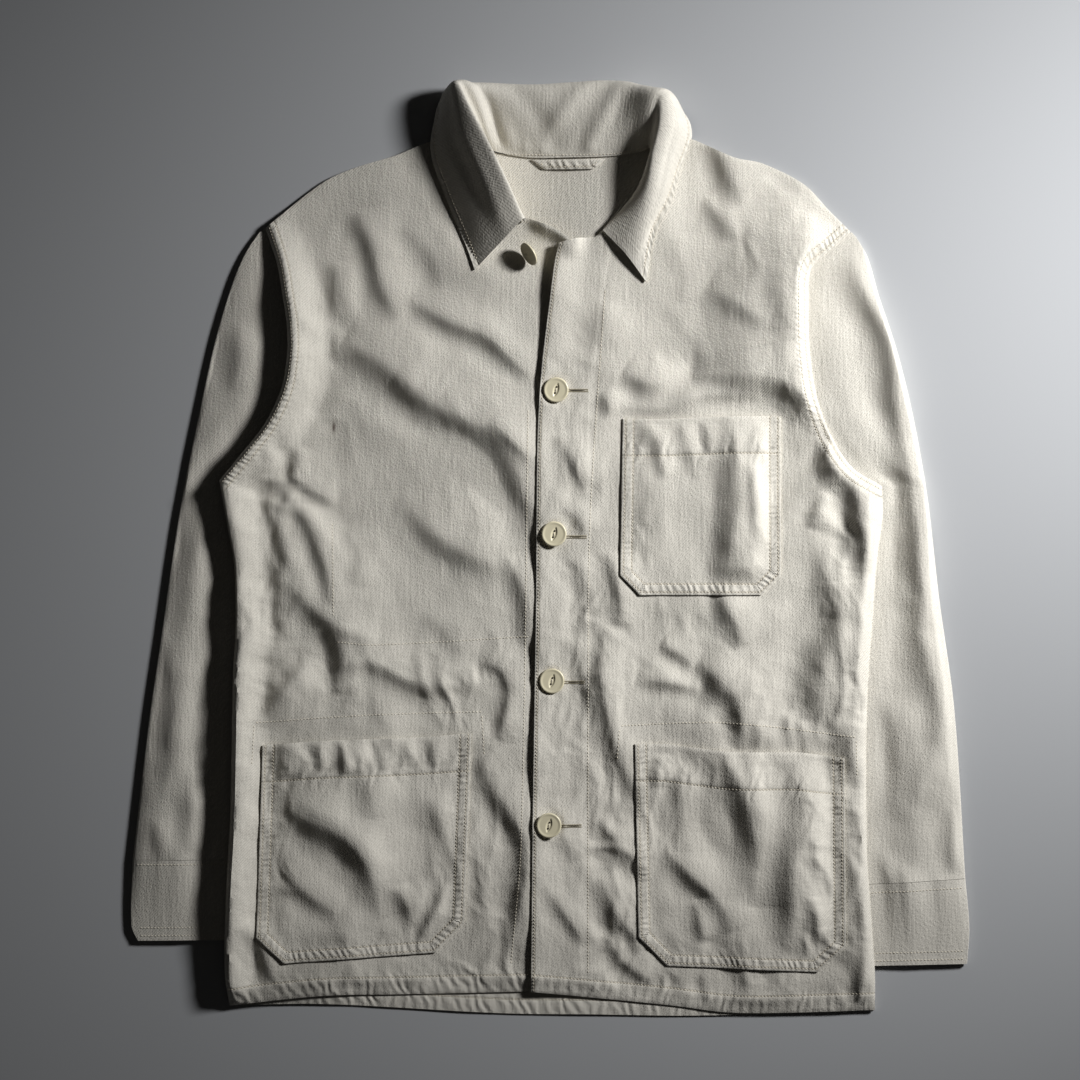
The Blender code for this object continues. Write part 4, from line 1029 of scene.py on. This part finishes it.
def over_other_front(x, y, height, centre_distance):
    """The left front's heights: it lies over the right one, stands off it a little at its own
    edge, and is held down by each button."""
    lifted = STAND_OFF + STAND_OFF_TOP * ramp(y, *STAND_OFF_LEVELS)
    height = height + (CLOTH + SEAM_GAP) * ramp(x, *OVERLAP_END)
    height += lifted * ramp(centre_distance, *STAND_OFF_REACH)
    for cx, cy in BUTTONS:
        away = np.hypot(x - cx, y - cy)
        seat = ramp(away, *BUTTON_SEAT)
        level = height[away < BUTTON_SEAT[0]].mean() - SEAT_DEPTH
        height = height * (1 - seat) + level * seat
    return height


FACING_ROW = [(47.5, 221.6), (34.6, 22.9), (33, -120), (32.8, -369)]
HIP_TAPE_ROW_EAST = [(61, -155), (153, -152.5), (263.5, -164.5)]
HIP_TAPE_ENDS_EAST = ([(60, -158), (58, -184)], [(264, -167), (265, -198)])
over_twill = twill("twill_over_front", FRONT_SEWN + [("z", EDGE_ROW)], [ARMHOLE_WAVES, HEM_WAVES])
front_left, left_rows, opening_line, left_area = front(
    "left_front",
    (SHOULDER_EAST, NECKLINE_EAST, STEP_EAST, ARMHOLE_EAST, SIDE_EAST, EDGE_EAST, FRONT_HEM_EAST),
    ROLL_EAST, TURNS_EAST, CRUMPLES_EAST, over_other_front, over_twill, FACING_WIDTH)
stands_for(front_left, "front_left")
stitches("left_front_stitches", [*left_rows, inset(opening_line, EDGE_ROW), FACING_ROW,
                                 HIP_TAPE_ROW_EAST, *HIP_TAPE_ENDS_EAST], front_left)

BUTTONHOLES = [(24.6, 134.8), (23.3, 8.2), (21.4, -117.5), (18.8, -241.5)]
BUTTONHOLE_LENGTH = 17
BAR_PITCH = 0.62
BAR_LENGTH = 1.7
BAR_ASIDE = 0.85          # from the slit to the middle of its bars
SLIT_WIDTH = 0.7
hole_thread = plain_finish("buttonhole_thread", (0.42, 0.385, 0.30, 1), 0.75)
# A dark finish that paints the shadow in each buttonhole's slit and in each button's two holes.
painted_hole_shadow = plain_finish("buttonhole_slit", (0.06, 0.05, 0.04, 1), 0.9)


def threads(name, places, way, carriers, length, width, thread):
    """Threads or slits that all lie one way."""
    sewn(name, np.array(places), np.tile(way, (len(places), 1)), carriers, length, width, thread)


bars = np.arange(-BUTTONHOLE_LENGTH / 2, BUTTONHOLE_LENGTH / 2, BAR_PITCH)
bar_places = [(cx + bar, cy + aside) for cx, cy in BUTTONHOLES for aside in (-BAR_ASIDE, BAR_ASIDE)
              for bar in bars]
threads("buttonhole_bars", bar_places, [0.0, 1.0], [front_left], BAR_LENGTH, BAR_PITCH, hole_thread)
# Painted shadow in each buttonhole's slit.
threads("buttonhole_slit_shadows", [(cx - 1, cy) for cx, cy in BUTTONHOLES], [1.0, 0.0], [front_left],
        BUTTONHOLE_LENGTH - 2, SLIT_WIDTH, painted_hole_shadow)
laid.append(front_left)


# --- Patch pockets -------------------------------------------------------------------------
# One at the chest and two at the hips: a piece of twill with its lower corners cut off, its
# edges turned under, a deep hem along the top, and two rows of stitches round the other sides.
POCKETS = {
    "pocket_chest": [(63, 110.5), (199.5, 112.5), (199.5, -42), (60.5, -42), 17],
    "pocket_hip_right": [(-248, -171.5), (-68, -161.5), (-75, -349.5), (-254, -361.5), 24],
    "pocket_hip_left": [(73.5, -170.5), (254, -182), (255.5, -368.5), (77, -361.5), 24],
}
# How far each opening bows up or down on its way across.
POCKET_BOWS = {
    "pocket_chest": [(0, 0), (0.3, -0.6), (0.7, 0.7), (1, 0)],
    "pocket_hip_right": [(0, 0), (0.25, 0.9), (0.6, -0.8), (1, 0)],
    "pocket_hip_left": [(0, 0), (0.18, 1.4), (0.38, 1.6), (0.5, -1.6), (0.74, 1.8), (0.86, -0.2), (1, 0)],
}
POCKET_CRUMPLES = {
    "pocket_chest": [(75, 0, 16, 60, 1.0), (185, 40, 18, 60, 1.0)],
    "pocket_hip_right": [(-240, -250, 22, 90, 1.6), (-160, -178, 90, 14, 1.4), (-90, -300, 26, 60, 1.5),
                         (-160, -345, 70, 14, 1.3)],
    "pocket_hip_left": [(90, -220, 22, 60, 1.4), (235, -260, 20, 90, 1.8), (160, -350, 90, 16, 1.6),
                        (160, -186, 80, 12, 1.0)],
}
POCKET_PUFF = 1.6
POCKET_PUFF_IN = (4, 26)          # by distance from the rim
POCKET_CRUMPLE_SHARE = 1.4
POCKET_CRUMPLES_IN = (0, 5)
POCKET_RIPPLES = [(0.6, 34, 7.5), (0.15, 13, 8.5)]
POCKET_ROWS = (2.5, 9.5)
POCKET_HEM = 32
POCKET_REST = 14          # rounds that even out what a pocket lies on
POCKET_EDGE = 10.5
POCKET_BAND_RISE = 0.55
POCKET_GRID = 1.7
POCKET_TURNS = {
    "pocket_chest": [
        ([(147, 118), (149, 66), (146, 14), (138, -44)], 15, 5.4),
        ([(173, 70), (175, 40), (183, 6), (189, -19)], 7, 2.4),
        ([(209, 16), (205, -13)], 5, 1.4),
        ([(86, 106), (92, 82), (98, 57)], 5, 1.2),
        ([(112, 106), (116, 83), (124, 56)], 5, 1.3),
        ([(130, 106), (135, 78)], 4, 1.2),
        ([(178, 106), (183, 71)], 5, 1.3),
        ([(78, 106), (79, 87)], 4, 0.9),
    ],
    "pocket_hip_right": [
        ([(-238, -226), (-212, -245), (-181, -262), (-162, -290), (-152, -324)], 10, 5.4),
        ([(-223, -214), (-190, -236), (-159, -262), (-140, -299)], 8, 0, 1.6),
        ([(-240, -286), (-214, -302), (-187, -321)], 7, 1.8),
        ([(-137, -295), (-123, -331)], 6, 1.8),
        ([(-85, -286), (-104, -316), (-116, -340)], 5, 2.6),
        ([(-79, -302), (-92, -333)], 5, 1.8),
        ([(-237, -169), (-235, -200)], 5, 2.4),
        ([(-183, -169), (-181, -198)], 6, 2.6),
        ([(-204, -171), (-200, -195)], 4, 1.2),
        ([(-150, -169), (-147, -193)], 5, 1.2),
        ([(-128, -167), (-123, -191)], 5, 1.2),
        ([(-105, -165), (-102, -193)], 4, 1.2),
        ([(-164, -198), (-159, -236)], 8, 1.4),
        ([(-109, -219), (-95, -259), (-90, -281)], 8, 1.6),
    ],
    "pocket_hip_left": [
        ([(143, -176), (156, -219), (166, -262), (168, -312)], 12, 9.0),
        ([(204, -178), (209, -219), (203, -262), (199, -305), (200, -364)], 12, 10.0),
        ([(79, -178), (78, -221)], 4, 1.8),
        ([(88, -178), (86, -209)], 4, 1.8),
        ([(93, -267), (121, -292), (143, -314), (152, -335)], 8, 3.2),
        ([(119, -307), (131, -343)], 6, 2.0),
        ([(238, -269), (246, -318), (241, -354)], 6, 2.6),
        ([(223, -302), (228, -349)], 5, 1.8),
        ([(98, -193), (109, -236), (105, -262)], 8, 1.4),
        ([(180, -193), (183, -236), (181, -280)], 8, 0, 1.6),
    ],
}


def pocket_plan(corners, bow):
    """Grid of a pocket's plan, its opening slightly bowed, narrowing over the cut corners."""
    upper_left, upper_right, lower_right, lower_left = [np.array(p, dtype=float) for p in corners[:4]]
    cut = corners[4]
    tall = np.linalg.norm(lower_left - upper_left)
    wide = np.linalg.norm(lower_right - lower_left)
    rows = int((upper_left[1] - lower_left[1]) / POCKET_GRID)
    across = np.linspace(0, 1, int((upper_right[0] - upper_left[0]) / POCKET_GRID))
    corner_rows = round(rows * cut / tall)
    down = np.concatenate([np.linspace(0, 1 - cut / tall, rows - corner_rows),
                           np.linspace(1 - cut / tall, 1, corner_rows + 1)[1:]])
    top = straight(upper_left, upper_right, across)
    top[:, 1] += curve(bow, across)[:, 1]
    bottom = straight(lower_left, lower_right, across)
    grid = top[None] + (bottom - top)[None] * down[:, None, None]
    for row, v in enumerate(down):
        trim = max(cut - (1 - v) * tall, 0)
        centre = (grid[row, 0] + grid[row, -1]) / 2
        grid[row] = centre + (grid[row] - centre) * (1 - 2 * trim / wide)
    return grid


pocket_twill = twill("twill_pocket", [("x", POCKET_ROWS[0]), ("x", POCKET_ROWS[1]), ("y", POCKET_HEM)],
                     [("x", 6, 4.5, 6.2, 0.26), ("y", POCKET_HEM - 4, 12, 13, 0.30)])
pocket_carriers = {"pocket_chest": front_left, "pocket_hip_right": front_right, "pocket_hip_left": front_left}
for pocket_name, corners in POCKETS.items():
    tall = corners[0][1] - corners[3][1]
    wide = corners[1][0] - corners[0][0]
    plan = pocket_plan(corners, POCKET_BOWS[pocket_name])
    x, y = plan[..., 0], plan[..., 1]
    rim_line = np.vstack([plan[:, 0], plan[-1, 1:-1], plan[::-1, -1]])
    rim_distance, rim_along, _ = from_line(x, y, rim_line)
    top_distance, top_along, _ = from_line(x, y, plan[0])
    carrier = trees_of([pocket_carriers[pocket_name]])
    base = blurred(heights(x, y, carrier), POCKET_REST) + SEAM_GAP
    puffed = POCKET_PUFF + turns(x, y, POCKET_TURNS[pocket_name]) + ripples(x, y, POCKET_RIPPLES)
    crumpled = POCKET_CRUMPLE_SHARE * crumples(x, y, POCKET_CRUMPLES[pocket_name])
    height = base + puffed * ramp(rim_distance, *POCKET_PUFF_IN)
    height += crumpled * ramp(rim_distance, *POCKET_CRUMPLES_IN)
    height = settled(x, y, height, carrier)
    thick = CLOTH + POCKET_BAND_RISE * np.maximum(band(POCKET_EDGE, rim_distance),
                                                  band(POCKET_HEM, top_distance))
    pocket = panel("patch_" + pocket_name, x, y, height, thick, pocket_twill,
                   [rim_distance, top_distance, top_distance], [rim_along, top_along, top_along])
    stands_for(pocket, pocket_name)
    wide * MM
    tall * MM
    stitches(pocket_name + "_stitches",
             [*[inset(rim_line, row) for row in POCKET_ROWS], inset(plan[0], -POCKET_HEM)[2:-2]], pocket)


# --- Hanger loop ---------------------------------------------------------------------------
# A flat doubled strip of twill sewn into the back neck seam, its ends cut to a slant.
LOOP = [(-16.4, 334.6), (48, 334.6), (37, 326), (-5.6, 326)]
LOOP_CLOTH = 2.2
LOOP_RISE = 1.2           # how far its middle stands off the back
LOOP_ROW = 2.0
LOOP_ROWS = [[(-1.5, 328), (33, 328)], [(-9, 332.5), (-5, 328.5)], [(36, 328.5), (41, 332.5)]]
left_top, right_top, right_low, left_low = [np.array(p, dtype=float) for p in LOOP]
across = np.linspace(0, 1, 40)
top = straight(left_top, right_top, across)
low = straight(left_low, right_low, across)
plan = np.array([top + (low - top) * share for share in np.linspace(0, 1, 8)])
x, y = plan[..., 0], plan[..., 1]
height = heights(x, y, trees_of([back])) + SEAM_GAP + LOOP_RISE * np.sin(np.pi * across)[None]
low_distance, low_run, _ = from_line(x, y, low)
loop_twill = twill("twill_loop", [("x", LOOP_ROW)], [("x", 3.5, 4, 7.0, 0.35)])
loop = panel("neck_loop", x, y, height, LOOP_CLOTH * np.ones(x.shape), loop_twill,
             [low_distance] * 3, [low_run] * 3)
stands_for(loop, "hanger_loop")
stitches("loop_stitches", LOOP_ROWS, loop)


# --- Collar --------------------------------------------------------------------------------
# Stand and leaf in one doubled strip, sewn round the neck. It stands up from the seam, rolls
# over and falls outward; behind the neck it is pressed down and its leaf is tucked back.
COLLAR_CLOTH = 2.0
# Seam x, y and rise off the panel; roll x, y, z; outer edge x, y, z; direction in which the
# leaf falls (degrees), bend at the roll and, behind the neck, the tuck under.
COLLAR = [
    (-21, 281.5, 0.7, -24, 281, 29, -65, 239, 5, 225, 5, 0),
    (-40, 296, 1.0, -36, 309, 37, -75, 266, 6, 226, 6, 0),
    (-57, 322, 1.0, -51, 341, 39.5, -91, 305, 7, 222, 5, 0),
    (-63, 338, 1.0, -65, 368, 39, -102, 338, 7, 210, 5, 0),
    (-63, 346, 1.5, -76, 391, 34, -100, 364, 7, 180, 5, 0),
    (-56, 347, 1.6, -77, 398, 27, -90, 387, 3, 130, 6, 6),
    (-44, 341, 1.4, -52, 391, 17, -52, 378, 1.4, 98, 12, 28),
    (-15, 336.5, 1.4, -14, 382, 18, -14, 374, 1.4, 90, 23, 30),
    (20, 336.5, 1.4, 22, 384, 19, 22, 376, 1.4, 90, 23, 30),
    (54, 337.5, 1.4, 58, 387, 22, 58, 377, 1.4, 88, 21, 28),
    (76, 341, 1.4, 85, 388, 36, 91, 378, 2.2, 72, 11, 14),
    (86, 345, 1.6, 95, 386, 37, 113, 376, 6, 30, 10, 3),
    (87.5, 337, 1.5, 96, 364, 36, 122, 356, 6, 5, 10, 0),
    (82, 321, 0.8, 90, 338, 33, 113, 326, 5, -15, 9, 0),
    (72, 303, 0.8, 85, 310, 29, 104, 296, 4, -28, 7, 0),
    (59, 287, 0.8, 75, 283, 20, 90, 267, 5, -36, 8, 0),
    (46, 273, 0.8, 61, 258, 10, 83, 229, 5, -45, 6, 0),
]
# Soft bends of the standing and the falling cloth: station, share across, reach along and across,
# slant (stations for each share across), and how far the cloth moves out along its own face.
COLLAR_BENDS = [
    (0.345, 0.26, 0.014, 0.24, -0.04, 3.2), (0.372, 0.24, 0.012, 0.22, -0.05, -3.0),
    (0.400, 0.12, 0.012, 0.10, -0.08, 1.4), (0.440, 0.32, 0.022, 0.26, -0.12, -2.4),
    (0.478, 0.30, 0.018, 0.24, 0.14, 2.4), (0.510, 0.12, 0.012, 0.10, 0.05, -1.0),
    (0.545, 0.30, 0.016, 0.26, 0.10, 2.6), (0.425, 0.06, 0.007, 0.06, 0, 1.2),
    (0.455, 0.05, 0.007, 0.05, 0, 1.0), (0.525, 0.06, 0.008, 0.06, 0, 0.9),
    (0.10, 0.62, 0.09, 0.06, 0, 1.1), (0.15, 0.74, 0.10, 0.06, 0, -1.0), (0.24, 0.66, 0.05, 0.06, 0, -1.0),
    (0.86, 0.70, 0.07, 0.06, 0.1, 1.2), (0.93, 0.78, 0.05, 0.08, 0, -1.0), (0.80, 0.60, 0.05, 0.05, 0, -1.0),
]
COLLAR_STATIONS = 240
STAND_STEPS = 20
LEAF_STEPS = 30
COLLAR_ROW = 5.2          # the sewn row, from the leaf's edge
FULL_TUCK = 20            # a section tucked under this far is pressed, not draped
SEAM_AROUND = 4           # the seam clears the cloth this far round it
BENDS_IN = (0, 0.06)      # by the share across, from the neck seam


def through_stations(values, knots, at):
    """Read every column at the shares given, on a smooth curve through its values."""
    step = knots[1] - knots[0]
    slope = np.gradient(values, step, axis=0) * step
    out = []
    for share in at:
        k = min(int(share / step), len(knots) - 2)
        out.append(between(values[k], slope[k], values[k + 1], slope[k + 1], (share - knots[k]) / step))
    return np.array(out)


def bezier(points, t):
    """The point at t on a curve drawn by four points."""
    a, b, c, d = points
    return (1 - t)**3 * a + 3 * (1 - t)**2 * t * b + 3 * (1 - t) * t**2 * c + t**3 * d


def faces_out(grid):
    """The direction in which a grid of points faces at each of them."""
    normal = np.cross(np.gradient(grid, axis=0), np.gradient(grid, axis=1))
    return normal / np.linalg.norm(normal, axis=2)[..., None]


rows = np.array(COLLAR, dtype=float)
neck_trees = trees_of([back, front_right, front_left])
around = [(0, 0), (SEAM_AROUND, 0), (-SEAM_AROUND, 0), (0, SEAM_AROUND), (0, -SEAM_AROUND)]
seam_height = np.max([heights(rows[:, 0] + dx, rows[:, 1] + dy, neck_trees) for dx, dy in around], axis=0)
path = np.column_stack([rows[:, :2], seam_height + rows[:, 2], rows[:, 3:]])
lean = np.radians(path[:, 9])
values = np.column_stack([path[:, :9], np.cos(lean), np.sin(lean), path[:, 10:]])
collar_grid = []
for row in through_stations(values, np.linspace(0, 1, len(path)), np.linspace(0, 1, COLLAR_STATIONS)):
    seam, roll, rim = row[0:3], row[3:6], row[6:9]
    fall = np.array([row[9], row[10], 0.0])
    fall /= np.linalg.norm(fall)
    bend, tuck = row[11], max(row[12], 0)
    draped = max(1 - tuck / FULL_TUCK, 0)
    up = np.array([0, 0, 1.0])
    first = [seam, seam + (roll - seam) * 0.35 * (1 - draped) + up * (roll[2] - seam[2]) * 0.5 * draped,
             roll - fall * bend * 0.6, roll]
    over_rim = (roll - rim) * np.array([0.28, 0.28, 0.32]) * draped
    second = [roll, roll + fall * bend * (1 + 0.5 * draped), rim + over_rim + fall * tuck, rim]
    section = [bezier(first, t) for t in np.linspace(0, 1, STAND_STEPS, endpoint=False)]
    section += [bezier(second, t) for t in np.linspace(0, 1, LEAF_STEPS)]
    collar_grid.append(section)
collar_grid = np.array(collar_grid)
station = np.linspace(0, 1, COLLAR_STATIONS)[:, None]
share = np.linspace(0, 1, collar_grid.shape[1])[None]
bend_out = np.zeros(collar_grid.shape[:2])
for at, across_at, reach_along, reach_across, slant, rise in COLLAR_BENDS:
    middle = at + slant * (share - across_at)
    bend_out += rise * np.exp(-((station - middle) / reach_along) ** 2
                              - ((share - across_at) / reach_across) ** 2)
bend_out *= ramp(share, *BENDS_IN)
collar_grid += faces_out(collar_grid) * bend_out[..., None]
leaf = collar_grid[:, STAND_STEPS:]
below_leaf = heights(leaf[..., 0], leaf[..., 1], neck_trees)
leaf[..., 2] = np.maximum(leaf[..., 2], below_leaf + COLLAR_CLOTH / 2 + SEAM_GAP)
across_step = np.linalg.norm(np.diff(collar_grid, axis=1), axis=2)
across_length = np.concatenate([np.zeros((COLLAR_STATIONS, 1)), np.cumsum(across_step, axis=1)], axis=1)
along_step = np.linalg.norm(np.diff(collar_grid, axis=0), axis=2).mean(axis=1)
along_length = np.concatenate([[0], np.cumsum(along_step)])[:, None] * np.ones(across_length.shape)
half = faces_out(collar_grid) * COLLAR_CLOTH / 2
collar_cut = np.dstack([along_length, across_length, np.zeros(along_length.shape)])
rim_distance = across_length[:, -1:] - across_length
collar_twill = twill("twill_collar", [("x", COLLAR_ROW)], [("x", 4, 5, 6.5, 0.2)], rib_rise=0.035)
collar = finish("turned_collar", walled(collar_grid - half, collar_grid + half), collar_twill, collar_cut,
                np.dstack([rim_distance] * 3), np.dstack([along_length] * 3))
stands_for(collar, "collar")
rim_row = np.array([[np.interp(COLLAR_ROW, rim_distance[k, ::-1], collar_grid[k, ::-1, axis])
                     for axis in (0, 1)] for k in range(COLLAR_STATIONS)])
NECK_SEAM_ROW = [(-52, 339.5), (-15, 338.6), (20, 338.4), (54, 339), (80, 343)]
stitches("collar_stitches", [rim_row[3:75], rim_row[170:-3], NECK_SEAM_ROW], collar)


# --- Buttons -------------------------------------------------------------------------------
# Five cream resin buttons: a turned disc with a raised rim, dished, with a cat-eye recess in which
# two holes, painted as dark shadow, hold the thread. Four are done up; the top one stands on its rim.
BUTTON_DIAMETER = 21.6
BUTTON_HEIGHT = 2.6
CREAM = (0.812, 0.757, 0.580, 1)
FREE_BUTTON = (-17, 253)
FREE_BUTTON_TILT = 66
FREE_BUTTON_TURN = -58
# Share of the radius and of the height, from the centre below to the centre above.
BUTTON_PROFILE = [(0, 0), (0.4, 0), (0.74, 0), (0.93, 0.24), (0.99, 0.5), (1.0, 0.72), (0.98, 0.88),
                  (0.94, 0.97), (0.9, 1.0), (0.86, 0.98), (0.82, 0.92), (0.77, 0.88)]
BUTTON_FACE = [(share, 0.86 - 0.05 * (1 - share)) for share in np.linspace(0.72, 0, 20)]
CAT_EYE = (13.0, 4.8)     # length and width of the recess
CAT_EYE_DEPTH = 0.75
CAT_EYE_SLOPE = (-0.3, 0.8)
CAT_EYE_WAY = Vector((0.26, 0.966))
HOLE_SPAN = 5.4
HOLE_SIZE = (1.7, 1.6)
THREAD_SPAN = 4.0         # from hole to hole as far as it shows
button_resin = plain_finish("button_resin", CREAM, 0.3)


def button_disc():
    """A turned disc, its axis on z and its lower face at z = 0, with the cat-eye pressed in."""
    bm = bmesh.new()
    radius = BUTTON_DIAMETER / 2 * MM
    ring = [bm.verts.new((r * radius, 0, z * BUTTON_HEIGHT * MM)) for r, z in BUTTON_PROFILE + BUTTON_FACE]
    lines = [bm.edges.new(pair) for pair in zip(ring, ring[1:])]
    bmesh.ops.spin(bm, geom=ring + lines, cent=(0, 0, 0), axis=(0, 0, 1), angle=2 * math.pi,
                   steps=64, use_merge=True)
    bmesh.ops.remove_doubles(bm, verts=bm.verts, dist=0.000005)
    bmesh.ops.recalc_face_normals(bm, faces=bm.faces)
    for vert in bm.verts:
        if vert.co.z > 0.6 * BUTTON_HEIGHT * MM and vert.co.xy.length < 0.7 * radius:
            along = vert.co.xy.dot(CAT_EYE_WAY) / MM
            aside = abs(vert.co.xy.cross(CAT_EYE_WAY)) / MM
            half = CAT_EYE[1] / 2 * (1 - (2 * along / CAT_EYE[0]) ** 2)
            vert.co.z -= CAT_EYE_DEPTH * float(ramp(half - aside, *CAT_EYE_SLOPE)) * MM
    return bm


def button(name, place):
    """A button where the matrix puts it."""
    bm = button_disc()
    bmesh.ops.transform(bm, matrix=place, verts=bm.verts)
    piece = finish("resin_" + name, bm, button_resin)
    stands_for(piece, name)
    return piece


def clear_height(centre, radius, carrier):
    """Height at which a ring of this radius clears the piece that carries it."""
    angles = np.linspace(0, 2 * math.pi, 24, endpoint=False)
    return heights(centre[0] + radius * np.cos(angles), centre[1] + radius * np.sin(angles),
                   trees_of([carrier])).max() + SEAM_GAP


radius = BUTTON_DIAMETER / 2
seats = [Vector((*centre, clear_height(centre, radius, front_left))) * MM for centre in BUTTONS]
done_up = [button(f"button_{number}", Matrix.Translation(seat)) for number, seat in enumerate(seats, start=2)]
centres = np.array(BUTTONS, dtype=float)
way = np.array(CAT_EYE_WAY)
holes = np.vstack([centres - way * HOLE_SPAN / 2, centres + way * HOLE_SPAN / 2])
# Painted shadow in each button's two holes, under the thread across them.
threads("button_hole_shadows", holes, way, done_up, *HOLE_SIZE, painted_hole_shadow)
threads("button_threads", centres, way, done_up, THREAD_SPAN, 1.0, sewing_thread)
rise = clear_height(FREE_BUTTON, radius / 2, front_right) + radius * math.sin(math.radians(FREE_BUTTON_TILT))
leaning = (Matrix.Rotation(math.radians(FREE_BUTTON_TURN), 4, 'Z')
           @ Matrix.Rotation(math.radians(FREE_BUTTON_TILT), 4, 'X'))
button("button_1", Matrix.Translation(Vector((*FREE_BUTTON, rise)) * MM) @ leaning)
